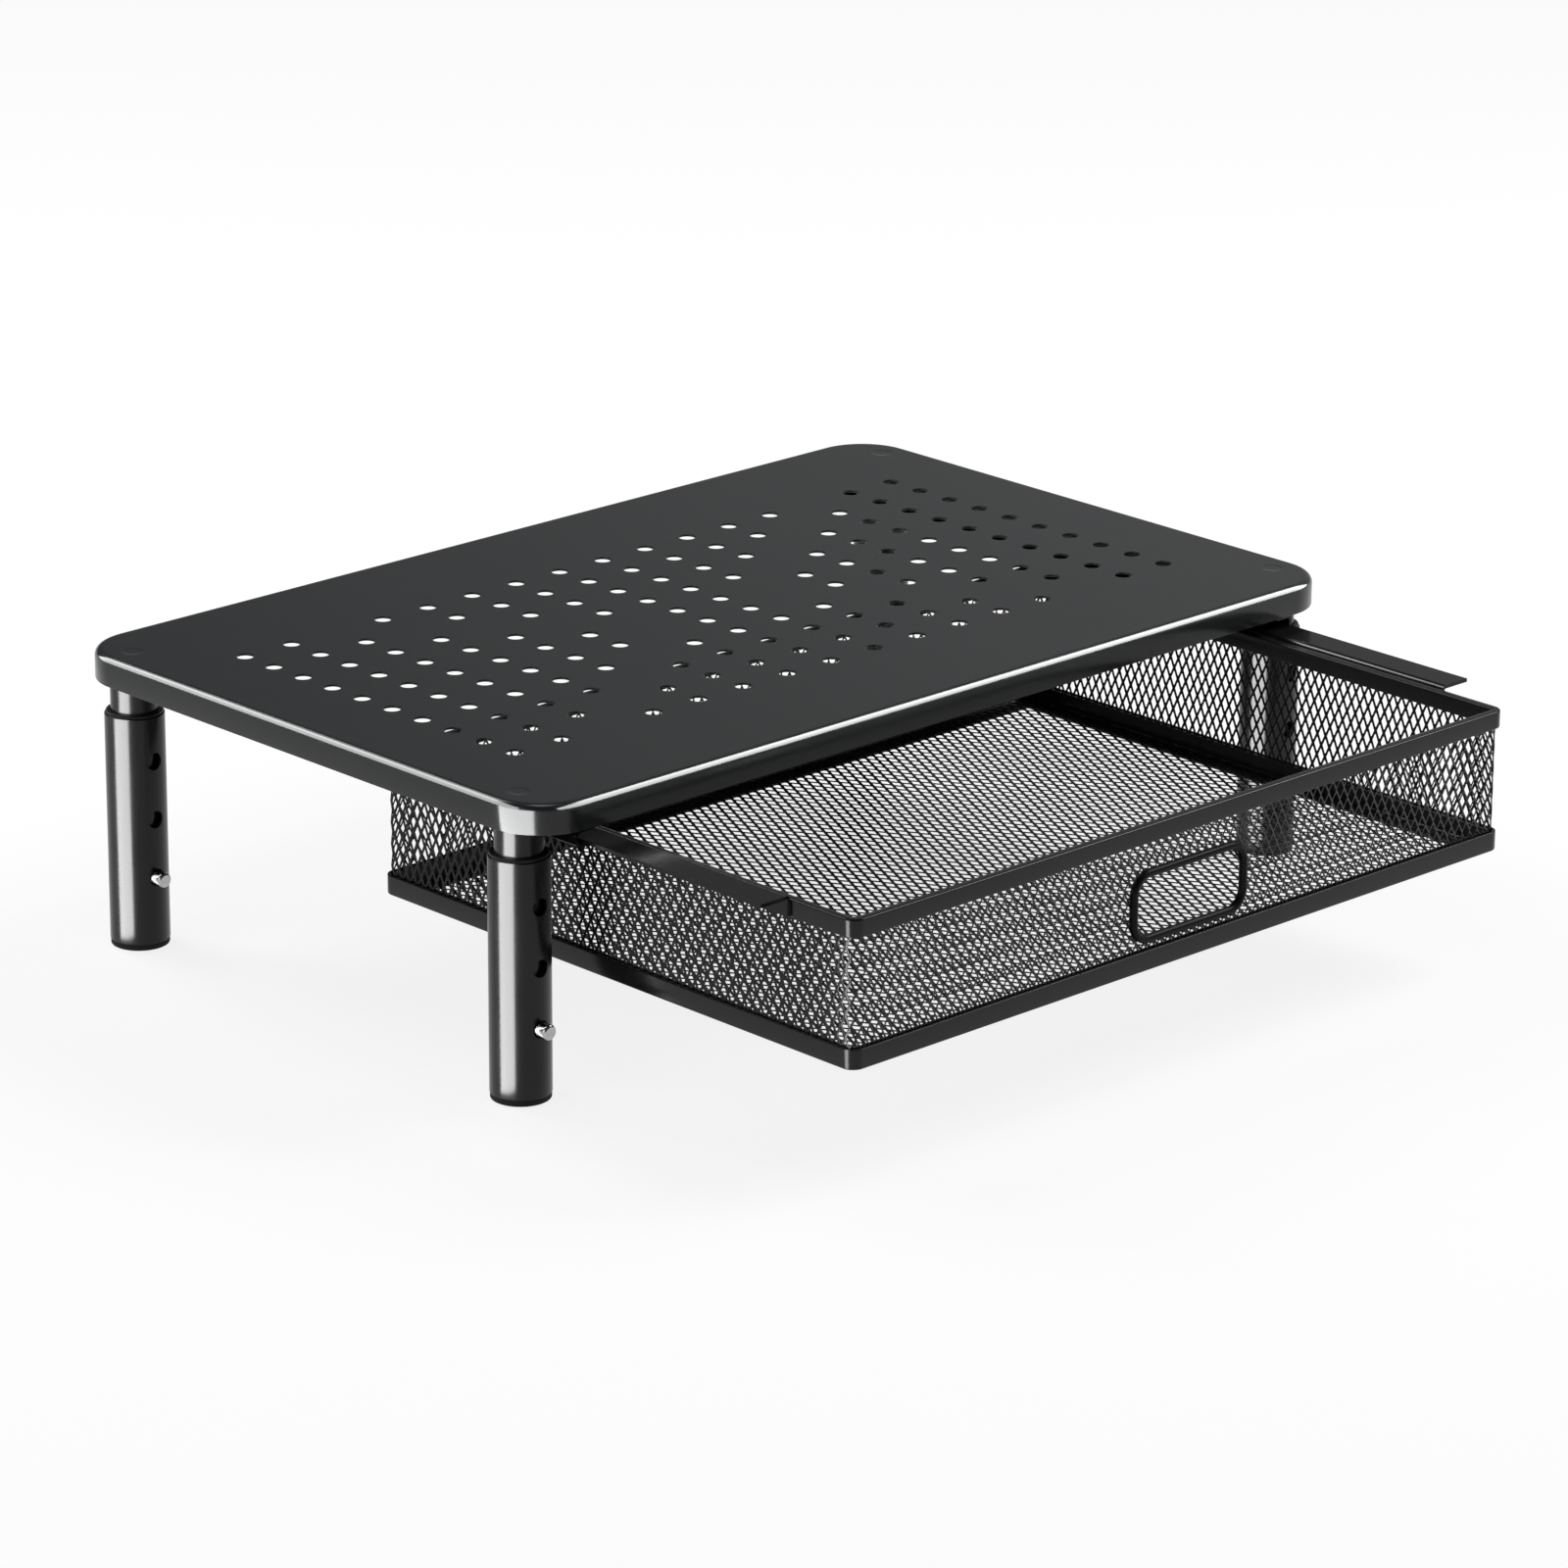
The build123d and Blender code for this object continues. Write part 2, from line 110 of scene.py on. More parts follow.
def turn(name, description, degrees):
    """An angle that a user can change."""
    return FloatProperty(name=name, description=description, default=radians(degrees), subtype="ANGLE")


class RiserPlatformSizes(PropertyGroup):
    """Sizes of the pressed tray."""

    sheet: length("Sheet", "Thickness of the pressed steel", 0.8)
    corner: length("Corner radius", "Radius of the tray's corners seen from above", 20.5)
    edge: length("Edge radius", "Outside radius of the bend from top to skirt", 2.5)
    vent: length("Vent diameter", "Diameter of a vent hole", 5.5)
    vent_roll: length("Vent roll", "Rounding of a vent's two edges under the coat", 0.35)
    pitch_x: length("Vent pitch across", "Distance of the vents along the width", 20.0)
    pitch_y: length("Vent pitch in depth", "Distance of the vents along the depth", 15.0)
    columns: IntProperty(name="Vent columns", description="Places for vents along the width", default=16)
    rows: IntProperty(name="Vent rows", description="Rows of vents along the depth", default=10)
    chevron: IntProperty(
        name="Chevron start", description="Vents before the blank one in the front and rear rows", default=2
    )


class RiserLegSizes(PropertyGroup):
    """Sizes of the telescoping legs and their snap clips."""

    wall: length("Sleeve wall", "Wall of the lower tube", 1.2)
    rim: length("Sleeve rim", "Rounding of the lower tube's two ends", 0.5)
    hole: length("Height hole", "Diameter of a height hole", 6.0)
    hole_step: length("Hole step", "Distance from one height hole to the next", 20.5)
    lowest: length("Lowest hole", "Height of the lowest hole above the desk", 25.5)
    holes: IntProperty(name="Holes", description="Height holes in each leg", default=3)
    bush_wall: length("Bush wall", "Wall of the guide bush inside the sleeve", 0.85)
    bush_lip: length("Bush lip", "Height of the bush's lip over the sleeve", 1.0)
    foot_pad: length("Foot pad", "Height of the rubber that shows under the sleeve", 2.0)
    clip_sheet: length("Clip sheet", "Thickness of the snap clip's leaf", 0.6)
    clip_straight: length("Clip arm", "Straight length of the clip's arms above the button", 9.0)
    clip_bend: length("Clip bend", "Radius of the clip's bends", 1.6)
    button: length("Button", "Diameter of the snap button", 5.4)
    dome: length("Button dome", "Rounding of the button's end", 2.2)


class RiserDrawerSizes(PropertyGroup):
    """Sizes of the mesh drawer."""

    corner: length("Corner radius", "Radius of the drawer's corners seen from above", 4.5)
    rim: length("Rim", "Thickness of the folded rims", 3.2)
    rim_round: length("Rim rounding", "Radius of the rims' folds", 0.6)
    skin: length("Rim skin", "Sheet of the folded rims", 1.0)
    groove: length("Groove", "Gap of a rim that holds the mesh", 1.0)
    ledge: length("Ledge", "Width of the ledge that carries the floor", 7.0)
    short_way: length("Short way", "Width of a mesh diamond", 3.75)
    long_way: length("Long way", "Length of a mesh diamond", 7.5)
    wall_strand: length("Wall strand", "Width of a strand of the wall mesh", 0.74)
    floor_strand: length("Floor strand", "Width of a strand of the floor mesh", 1.25)
    wall_sheet: length("Wall sheet", "Thickness of the wall mesh", 0.3)
    floor_sheet: length("Floor sheet", "Thickness of the floor mesh", 0.16)
    wall_twist: length("Wall twist", "How far a strand's edge leans out of the wall mesh", 0.2)
    floor_twist: length("Floor twist", "How far a strand's edge leans out of the floor mesh", 0.08)
    softness: length("Strand rounding", "Rounding that the coat leaves on a strand", 0.07)
    knuckle: length("Knuckle", "Width of the flat ends of a diamond", 0.45)
    bead: length("Bead", "Thickness of the frame round the finger hole", 2.9)
    bead_corner: length("Bead corner", "Outside radius of the finger hole's corners", 8.0)


class RiserFinish(PropertyGroup):
    """Colours and gloss of the finishes."""

    tray: colour("Tray coat", "Sprayed coat of the tray", 0.023, 0.0246, 0.0263)
    tray_rough: share("Tray roughness", "Roughness of the tray's coat", 0.20)
    leg: colour("Leg coat", "Gloss coat of the legs", 0.010, 0.010, 0.010)
    leg_rough: share("Leg roughness", "Roughness of the legs' coat", 0.24)
    drawer: colour("Drawer coat", "Coat of the drawer's rims", 0.014, 0.014, 0.014)
    drawer_rough: share("Drawer roughness", "Roughness of the drawer's coat", 0.20)
    bead: colour("Bead coat", "Coat of the bead round the finger hole", 0.008, 0.008, 0.008)
    bead_rough: share("Bead roughness", "Roughness of the bead's coat", 0.36)
    strand: colour("Mesh coat", "Coat of the mesh", 0.014, 0.014, 0.014)
    strand_rough: share("Mesh roughness", "Roughness of the mesh's coat", 0.24)
    rail: colour("Rail coat", "Coat of the rails and runners", 0.009, 0.009, 0.0095)
    rail_rough: share("Rail roughness", "Roughness of the rails' coat", 0.18)
    chrome: colour("Chrome", "Plating of the snap clips", 0.42, 0.42, 0.42)
    chrome_rough: share("Chrome roughness", "Roughness of the clips' plating", 0.22)
    zinc: colour("Zinc", "Plating of the studs and inserts", 0.45, 0.45, 0.44)
    zinc_rough: share("Zinc roughness", "Roughness of the fixings' plating", 0.34)
    nylon: colour("Bush plastic", "Moulded guide bushes", 0.014, 0.014, 0.015)
    nylon_rough: share("Bush roughness", "Roughness of the bushes", 0.42)
    rubber: colour("Foot rubber", "Moulded feet", 0.016, 0.016, 0.016)
    rubber_rough: share("Foot roughness", "Roughness of the feet", 0.72)


FRONT_EDGE = (0, -0.766, -0.643)  # along the arc in which the tray's front bend mirrors the room
LEFT_EDGE = (-0.766, 0, -0.643)
# Name, way to it, way of its length, distance, width, length, times white, pieces it only gleams on
SOFTBOXES = (
    ("left_softbox", (-0.97, 0.06, 0.35), (0, 1, 0), 1.8, 0.95, 1.45, 1.5, ()),
    ("right_softbox", (0.65, -0.32, 0.68), FRONT_EDGE, 1.9, 0.7, 1.15, 8.5, ()),
    ("rear_softbox", (-0.2, 0.684, 0.70), LEFT_EDGE, 1.9, 0.75, 1.1, 5.8, ()),
    ("corner_light", (-0.1, -0.05, 1.0), (0, 1, 0), 1.9, 0.7, 0.7, 4.5, ("platform_tray",)),
    ("runner_light", (-0.15, 0.68, 0.72), LEFT_EDGE, 1.3, 0.55, 0.5, 14.0, ("runner_right",)),
)
# Bright lines on the tray's bend: angles on the bend with the gap to the lamp there, which keeps the lamp
# below the flat top so that the top never mirrors it, how far it goes past the bend's ends, times white
LINE_SIDES = ((radians(35), 0.55 * MM), (radians(70), 6 * MM))
LINE_EXTRA = 12 * MM
FRONT_LINE = 22.0
LEFT_LINE = 14.0
# Upright strips to the left of a round edge: from its axis, width, low and high ends, times white
LEG_STRIP = (Vector((-18 * MM, -4.3 * MM, 0)), 14.5 * MM, -0.3 * MM, 98 * MM, 29.0)
TRAY_STRIP = (Vector((-18 * MM, -10.1 * MM, 0)), 24.2 * MM, 75 * MM, 102.5 * MM, 24.0)
DRAWER_STRIP = (Vector((-18 * MM, 0, 0)), 10 * MM, 20 * MM, 87 * MM, 14.0)


class RiserStage(PropertyGroup):
    """Camera, lamps and floor."""

    aim: FloatVectorProperty(
        name="Aim", description="Point that the camera looks at", default=(0.03319, 0.0534, 0.03201),
        subtype="TRANSLATION", unit="LENGTH",
    )
    azimuth: turn("Azimuth", "Camera's turn from the front", -43.693)
    elevation: turn("Elevation", "Camera's height angle", 19.015)
    roll: turn("Roll", "Camera's turn about its own axis", 0.297)
    distance: length("Distance", "From the aim to the camera", 2381.2)
    lens: FloatProperty(
        name="Lens", description="Focal length on a 36 mm sensor",
        default=158.02, subtype="DISTANCE_CAMERA",
    )
    floor: colour("Floor", "Plain pale floor", 0.20, 0.20, 0.20)
    floor_glow: share("Floor glow", "White that the floor adds for the eye", 0.84)
    sky: share("Sky", "Level of the light from all round", 0.07)
    sky_right: share("Sky to the right", "Level of the light from the right", 0.34)


def rounded_rectangle(half_x, half_y, corner, steps):
    """Points round a rectangle with round corners, starting on its +X side."""
    points = []
    for quarter in range(4):
        side_x = 1 if quarter in (0, 3) else -1
        side_y = 1 if quarter in (0, 1) else -1
        for step in range(steps + 1):
            angle = (quarter + step / steps) * pi / 2
            x = side_x * (half_x - corner) + corner * cos(angle)
            y = side_y * (half_y - corner) + corner * sin(angle)
            points.append((x, y))
    return points


def softened(outline, radius, steps=4):
    """A closed outline with round corners. The radius is one value, or one for each corner."""
    radii = radius if isinstance(radius, (list, tuple)) else [radius] * len(outline)
    corners = [Vector(point) for point in outline]
    soft = []
    for index, here in enumerate(corners):
        back = corners[index - 1] - here
        ahead = corners[(index + 1) % len(corners)] - here
        reach = min(radii[index], 0.49 * back.length, 0.49 * ahead.length)
        start = here + back.normalized() * reach
        end = here + ahead.normalized() * reach
        for step in range(steps + 1):
            way = step / steps
            soft.append(tuple(start.lerp(here, way).lerp(here.lerp(end, way), way)))
    return soft


def ring_faces(rows, count, closed):
    """Faces of a grid whose rows are rings of points."""
    faces = []
    for row in range(rows if closed else rows - 1):
        here = row * count
        above = (row + 1) % rows * count
        for point in range(count):
            beside = (point + 1) % count
            faces.append((here + point, here + beside, above + beside, above + point))
    return faces


def band(section, half_x, half_y, corner, place, closed=True, steps=12):
    """A section of inset and height, swept round a rectangle with round corners."""
    verts = []
    for inset, height in section:
        radius = max(corner - inset, 0.4 * MM)
        ring = rounded_rectangle(half_x - inset, half_y - inset, radius, steps)
        verts += [place(x, y, height) for x, y in ring]
    return verts, ring_faces(len(section), 4 * (steps + 1), closed)


def lathe(profile, place, closed=True, steps=72):
    """A profile of radius and height, turned about an axis."""
    turn = [2 * pi * step / steps for step in range(steps)]
    verts = [place(radius * cos(a), radius * sin(a), height) for radius, height in profile for a in turn]
    return verts, ring_faces(len(profile), steps, closed)


def joined(*shapes):
    """Several lists of points and faces as one."""
    verts, faces = [], []
    for points, polygons in shapes:
        base = len(verts)
        verts += points
        faces += [tuple(base + index for index in polygon) for polygon in polygons]
    return verts, faces


def upright(x, y, z):
    """Leaves a point as it is."""
    return (x, y, z)


def about(centre):
    """A way to place points that are measured across from an upright middle line."""
    return lambda x, y, z: (centre.x + x, centre.y + y, z)


def middle_of(node):
    """Middle of a CAD node's box."""
    lo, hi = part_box(node)
    return (lo + hi) / 2


def shaded(mesh, angle=40):
    """Smooth shading that stays crisp at the sharp edges."""
    mesh.shade_smooth()
    mesh.set_sharp_from_angle(angle=radians(angle))
    return mesh


def clean_mesh(name, shape, fill_levels=()):
    """A mesh of welded points with its faces turned outwards, and flat rings filled at some heights."""
    mesh = bpy.data.meshes.new(name)
    mesh.from_pydata(shape[0], [], shape[1])
    work = bmesh.new()
    work.from_mesh(mesh)
    bmesh.ops.remove_doubles(work, verts=work.verts, dist=WELD)
    bmesh.ops.dissolve_degenerate(work, dist=WELD, edges=work.edges)
    for level in fill_levels:
        rim = [e for e in work.edges if e.is_boundary and all(abs(v.co.z - level) < WELD for v in e.verts)]
        bmesh.ops.triangle_fill(work, use_beauty=True, edges=rim)
    bmesh.ops.recalc_face_normals(work, faces=work.faces)
    work.to_mesh(mesh)
    work.free()
    return shaded(mesh)


def show(name, mesh, finish, location=(0, 0, 0)):
    """A piece in the scene with its finish."""
    piece = bpy.data.objects.new(name, mesh)
    piece.location = location
    mesh.materials.clear()
    mesh.materials.append(finish)
    bpy.context.scene.collection.objects.link(piece)
    return piece


def dress(piece, body, slot, *nodes):
    """Fix a piece to its body and hide the CAD nodes it stands for. The slot argument is not used."""
    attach(piece, body)
    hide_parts(*nodes)


def paint_node(node, finish):
    """Give a CAD node that stays in view its finish."""
    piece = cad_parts[node]
    piece.data.materials.clear()
    piece.data.materials.append(finish)


def drilled(mesh, finish, radius, heights, reach):
    """The mesh with round holes through its front."""
    tube = show("drilled_tube", mesh, finish)
    bars = []
    for height in heights:
        profile = [(0, 0), (radius, 0), (radius, reach), (0, reach)]
        bars.append(lathe(profile, lambda x, y, z, h=height: (x, -z, h + y), closed=False, steps=48))
    cutter = show("drill", clean_mesh("drill", joined(*bars)), finish)
    cut = tube.modifiers.new("holes", "BOOLEAN")
    cut.object = cutter
    cut.solver = "EXACT"
    result = bpy.data.meshes.new_from_object(tube.evaluated_get(bpy.context.evaluated_depsgraph_get()))
    for helper in (tube, cutter):
        bpy.data.objects.remove(helper)
    return shaded(result)


def linker(tree):
    """A function that links one node's output to another's input, by their names."""
    return lambda here, output, there, entry: tree.links.new(here.outputs[output], there.inputs[entry])


def preset(node, inputs):
    """Set the values of some inputs of a shader node."""
    for name, value in inputs.items():
        node.inputs[name].default_value = value


def added(nodes, kind, inputs=None, **settings):
    """A new shader node with its settings and the values of some inputs."""
    node = nodes.new(f"ShaderNode{kind}")
    for name, value in settings.items():
        setattr(node, name, value)
    preset(node, inputs or {})
    return node


def socket(group, name, direction, kind="NodeSocketFloat", default=None):
    """A named input or output of a shader group."""
    made = group.interface.new_socket(name=name, in_out=direction, socket_type=kind)
    if default is not None:
        made.default_value = default


def coat_grain_group():
    """Shared effect: the fine grain and slight clouding of a sprayed or moulded black finish."""
    name = "Coat grain"
    if name in bpy.data.node_groups:
        return bpy.data.node_groups[name]
    group = bpy.data.node_groups.new(name, "ShaderNodeTree")
    socket(group, "Colour", "INPUT", "NodeSocketColor", (0.02, 0.02, 0.02, 1))
    socket(group, "Roughness", "INPUT", default=0.4)
    socket(group, "Spread", "INPUT", default=0.06)
    socket(group, "Grain per metre", "INPUT", default=1500.0)
    socket(group, "Colour", "OUTPUT", "NodeSocketColor")
    socket(group, "Roughness", "OUTPUT")
    socket(group, "Height", "OUTPUT")
    nodes, link = group.nodes, linker(group)
    taken, given = nodes.new("NodeGroupInput"), nodes.new("NodeGroupOutput")
    place = added(nodes, "TexCoord")
    grain = added(nodes, "TexNoise", {"Detail": 3})
    cloud = added(nodes, "TexNoise", {"Scale": 38, "Detail": 4})
    for texture in (grain, cloud):
        link(place, "Object", texture, "Vector")
    link(taken, "Grain per metre", grain, "Scale")
    level = added(nodes, "MapRange", {"From Min": 0.3, "From Max": 0.7, "To Min": -1})
    link(cloud, "Fac", level, "Value")
    rough = added(nodes, "Math", operation="MULTIPLY_ADD")
    link(level, "Result", rough, 0)
    link(taken, "Spread", rough, 1)
    link(taken, "Roughness", rough, 2)
    tone = added(nodes, "MapRange", {"From Min": 0.25, "From Max": 0.75, "To Min": 0.86, "To Max": 1.14})
    link(grain, "Fac", tone, "Value")
    shade = added(nodes, "VectorMath", operation="SCALE")
    link(taken, "Colour", shade, 0)
    link(tone, "Result", shade, "Scale")
    link(shade, "Vector", given, "Colour")
    link(rough, "Value", given, "Roughness")
    link(grain, "Fac", given, "Height")
    return group


def weld_mark_group():
    """The faint round marks that the welded studs leave in the top of the tray."""
    group = bpy.data.node_groups.new("Weld marks", "ShaderNodeTree")
    socket(group, "Height", "OUTPUT")
    nodes, link = group.nodes, linker(group)
    given = nodes.new("NodeGroupOutput")
    centre, stud = middle_of("leg_studs"), middle_of("leg_post_front_left")
    place = added(nodes, "TexCoord")
    to_centre = {1: (1, 1, 0), 2: (-centre.x, -centre.y, 0)}
    flat = added(nodes, "VectorMath", to_centre, operation="MULTIPLY_ADD")
    link(place, "Object", flat, 0)
    folded = added(nodes, "VectorMath", operation="ABSOLUTE")
    link(flat, "Vector", folded, 0)
    to_stud = {1: (abs(stud.x - centre.x), abs(stud.y - centre.y), 0)}
    far = added(nodes, "VectorMath", to_stud, operation="DISTANCE")
    link(folded, "Vector", far, 0)
    ends = {"From Min": MARK_INSIDE, "From Max": MARK_OUTSIDE}
    dent = added(nodes, "MapRange", ends, interpolation_type="SMOOTHERSTEP")
    link(far, "Value", dent, "Value")
    link(dent, "Result", given, "Height")
    return group


def coat(name, tint, roughness, grain=1500.0, depth=0.02, spread=0.03, shine=0.25, marks=False):
    """A black finish: sprayed coat, moulded plastic or rubber, by its gloss and the size of its grain."""
    if name in bpy.data.materials:
        return bpy.data.materials[name]
    material = bpy.data.materials.new(name)
    material.use_nodes = True
    nodes, link = material.node_tree.nodes, linker(material.node_tree)
    shader = nodes["Principled BSDF"]
    shader.inputs["Specular IOR Level"].default_value = shine
    values = {"Colour": (*tint, 1), "Roughness": roughness, "Spread": spread, "Grain per metre": grain}
    effect = added(nodes, "Group", values, node_tree=coat_grain_group())
    link(effect, "Colour", shader, "Base Color")
    link(effect, "Roughness", shader, "Roughness")
    bump = added(nodes, "Bump", {"Strength": 1, "Distance": depth * MM})
    link(effect, "Height", bump, "Height")
    if marks:
        dents = added(nodes, "Group", node_tree=weld_mark_group())
        press = added(nodes, "Bump", {"Strength": 1, "Distance": MARK_DEPTH})
        link(dents, "Height", press, "Height")
        link(bump, "Normal", press, "Normal")
        bump = press
    link(bump, "Normal", shader, "Normal")
    return material


def plating(name, tint, roughness):
    """A plated metal finish with a faint fine grain."""
    if name in bpy.data.materials:
        return bpy.data.materials[name]
    material = coat(name, tint, roughness, grain=900.0, depth=0.004, spread=0.08)
    material.node_tree.nodes["Principled BSDF"].inputs["Metallic"].default_value = 1
    return material


def sprayed(finish, kind):
    """The sprayed coat of one kind of piece. Only the tray's shows the weld marks."""
    grain, shine = SPRAYED[kind]
    tint, roughness = getattr(finish, kind), getattr(finish, f"{kind}_rough")
    return coat(f"{kind}_paint", tint, roughness, grain, COAT_DEPTH, shine=shine, marks=kind == "tray")


def tray_section(p, top, bottom):
    """Section of the tray's edge: flat top, bend, skirt, and back under the top."""
    under = top - p.sheet
    inside = p.edge - p.sheet
    nose = 0.45 * p.sheet
    bend = [(1 - cos(a), sin(a)) for a in (step * pi / 16 for step in range(9))]
    outer = [(p.edge * inset, top - p.edge + p.edge * rise) for inset, rise in reversed(bend)]
    inner = [(p.sheet + inside * inset, under - inside + inside * rise) for inset, rise in bend]
    lip = [(0, bottom + nose), (0.3 * nose, bottom + 0.3 * nose), (nose, bottom)]
    lip += [(p.sheet - inset, height) for inset, height in reversed(lip)]
    return [(p.edge + SUPPORT, top), *outer, *lip, *inner, (p.edge + SUPPORT, under)]


def vent_cell(p, x, y, open_, top, under):
    """One cell of the tray's top and underside, with its vent or blank."""
    half_x, half_y = p.pitch_x / 2, p.pitch_y / 2
    corners = [(x + half_x, y + half_y), (x - half_x, y + half_y)]
    corners += [(x - half_x, y - half_y), (x + half_x, y - half_y)]
    if not open_:
        plates = [(cx, cy, z) for z in (top, under) for cx, cy in corners]
        return plates, [(0, 1, 2, 3), (4, 5, 6, 7)]
    radius, roll = p.vent / 2, p.vent_roll
    edge = [(radius + roll + SUPPORT, 0), (radius + roll, 0)]
    edge += [(radius + 0.3 * roll, 0.3 * roll), (radius, roll)]
    wall = [(away, top - deep) for away, deep in edge]
    wall += [(away, under + deep) for away, deep in reversed(edge)]
    steps = 32
    verts, faces = lathe(wall, lambda u, v, w: (x + u, y + v, w), closed=False, steps=steps)
    for ring, level in ((0, top), (len(wall) - 1, under)):
        first = len(verts)
        verts += [(cx, cy, level) for cx, cy in corners]
        for quarter in range(4):
            here, after = first + quarter, first + (quarter + 1) % 4
            for step in range(quarter * steps // 4, (quarter + 1) * steps // 4):
                faces.append((here, ring * steps + step, ring * steps + (step + 1) % steps))
            faces.append((here, ring * steps + (quarter + 1) * steps // 4 % steps, after))
    return verts, faces


def tray_shape(p):
    """The whole tray with its vents, but for the flat border between them and the edge."""
    lo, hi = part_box("platform")
    centre, half = (lo + hi) / 2, (hi - lo) / 2
    top, under = hi.z, hi.z - p.sheet
    section = tray_section(p, top, lo.z)
    shapes = [band(section, half.x, half.y, p.corner, about(centre), closed=False, steps=20)]
    for row in range(p.rows):
        blank = p.chevron + min(row, p.rows - 1 - row)
        for column in range(p.columns):
            x = centre.x + (column - (p.columns - 1) / 2) * p.pitch_x
            y = centre.y + (row - (p.rows - 1) / 2) * p.pitch_y
            open_ = column not in (blank, p.columns - 1 - blank)
            shapes.append(vent_cell(p, x, y, open_, top, under))
    return joined(*shapes), (top, under)


def leg_axis(corner):
    """Where the axis of a leg stands."""
    middle = middle_of(f"leg_sleeve_{corner}")
    return Vector((middle.x, middle.y, 0))


def seat_radius(p):
    """Radius of a piece that sits in the lower tube."""
    lo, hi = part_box("leg_sleeve_front_left")
    return (hi.x - lo.x) / 2 - p.wall - SEAT_FIT


def sleeve_mesh(p, finish):
    """Lower tube with rounded ends and its row of height holes."""
    lo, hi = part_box("leg_sleeve_front_left")
    outer = (hi.x - lo.x) / 2
    inner = outer - p.wall
    outline = [(outer, lo.z), (outer, hi.z), (inner, hi.z), (inner, lo.z)]
    profile = softened(outline, p.rim)
    mesh = clean_mesh("leg_sleeve", lathe(profile, upright, steps=128))
    heights = [p.lowest + step * p.hole_step for step in range(p.holes)]
    return drilled(mesh, finish, p.hole / 2, heights, 2 * outer)


def bush_mesh(p):
    """Guide bush: a plain sleeve with a thin rounded lip over the lower tube."""
    lo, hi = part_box("guide_bush_front_left")
    lip = (hi.x - lo.x) / 2
    seat = seat_radius(p)
    bore = seat - p.bush_wall
    step = hi.z - p.bush_lip
    outline = [(bore, lo.z), (seat, lo.z), (seat, step), (lip, step), (lip, hi.z), (bore, hi.z)]
    radii = [0.2 * MM, 0.2 * MM, 0, 0.1 * MM, 0.5 * MM, 0.3 * MM]
    return clean_mesh("guide_bush", lathe(softened(outline, radii), upright))


def foot_mesh(p):
    """Rubber foot: a pad with a rolled edge, and the plug that holds it in the tube."""
    lo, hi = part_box("rubber_foot_front_left")
    pad = (hi.x - lo.x) / 2
    plug = seat_radius(p)
    step = lo.z + p.foot_pad
    outline = [(pad, lo.z), (pad, step), (plug, step), (plug, hi.z)]
    radii = [0, 0.6 * MM, 0.2 * MM, 0, 0.5 * MM, 0]
    rounded = softened([(0, lo.z), *outline, (0, hi.z)], radii)
    return clean_mesh("rubber_foot", lathe(rounded, upright, closed=False))


def clip_leaf_mesh(p, corner):
    """Leaf of a snap clip: a V of spring strip, drawn round the leg's axis."""
    lo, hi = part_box(f"snap_clip_{corner}")
    axis = leg_axis(corner)
    half_width = (hi.x - lo.x) / 2
    arm = hi.y - axis.y - p.clip_sheet / 2
    knee = p.lowest + p.clip_straight
    crown = hi.z - p.clip_sheet / 2
    path = [(-arm, lo.z), (-arm, knee), (-p.clip_bend, crown)]
    path += [(p.clip_bend, crown), (arm, knee), (arm, lo.z)]
    line = softened(path, [0, 4 * p.clip_bend, p.clip_bend, p.clip_bend, 4 * p.clip_bend, 0], steps=6)
    line = [Vector(point) for index, point in enumerate(line) if index == 0 or point != line[index - 1]]
    half = p.clip_sheet / 2
    verts = []
    for index, point in enumerate(line):
        along = line[min(index + 1, len(line) - 1)] - line[max(index - 1, 0)]
        side = Vector((along.y, -along.x)).normalized() * half
        for across, away in ((-1, 1), (1, 1), (1, -1), (-1, -1)):
            y, z = point + side * away
            verts.append((across * half_width, y, z))
    last = 4 * (len(line) - 1)
    faces = [(0, 1, 2, 3), (last, last + 1, last + 2, last + 3), *ring_faces(len(line), 4, closed=False)]
    return clean_mesh("clip_leaf", (verts, faces))


def button_mesh(p, corner):
    """Domed button on the front arm of a snap clip."""
    lo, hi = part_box(f"snap_clip_{corner}")
    axis = leg_axis(corner)
    radius = p.button / 2
    tip = axis.y - lo.y
    seat = hi.y - axis.y
    outline = [(0, seat), (radius, seat), (radius, tip), (0, tip)]
    profile = softened(outline, [0, 0, p.dome, 0], steps=8)

    def place(x, y, z):
        return (x, -z, p.lowest + y)

    return clean_mesh("snap_button", lathe(profile, place, closed=False, steps=48))


def drawer_frame(node):
    """Middle, half size and heights of a rim of the drawer."""
    lo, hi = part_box(node)
    return (lo + hi) / 2, (hi - lo) / 2, lo.z, hi.z


def rim_mesh(p, node):
    """Folded rim over or under the wall mesh, with the groove that the mesh sits in."""
    centre, half, low, high = drawer_frame(node)
    near, far = (p.rim - p.groove) / 2, (p.rim + p.groove) / 2
    bend, hem = p.rim_round, RIM_HEM
    if node == "drawer_top_rim":
        outline = [(0, low), (0, high), (p.rim, high), (p.rim, low)]
        outline += [(far, low), (far, high - p.skin), (near, high - p.skin), (near, low)]
        radii = [hem, bend, bend, hem, hem, 0, 0, hem]
    else:
        ledge = p.rim + p.ledge
        outline = [(0, high), (0, low), (ledge, low), (ledge, low + p.skin), (p.rim, low + p.skin)]
        outline += [(p.rim, high), (far, high), (far, low + p.skin), (near, low + p.skin), (near, high)]
        radii = [hem, bend, hem, hem, bend, hem, hem, 0, 0, hem]
    section = softened(outline, radii, steps=3)
    return clean_mesh(node, band(section, half.x, half.y, p.corner, about(centre), steps=14))


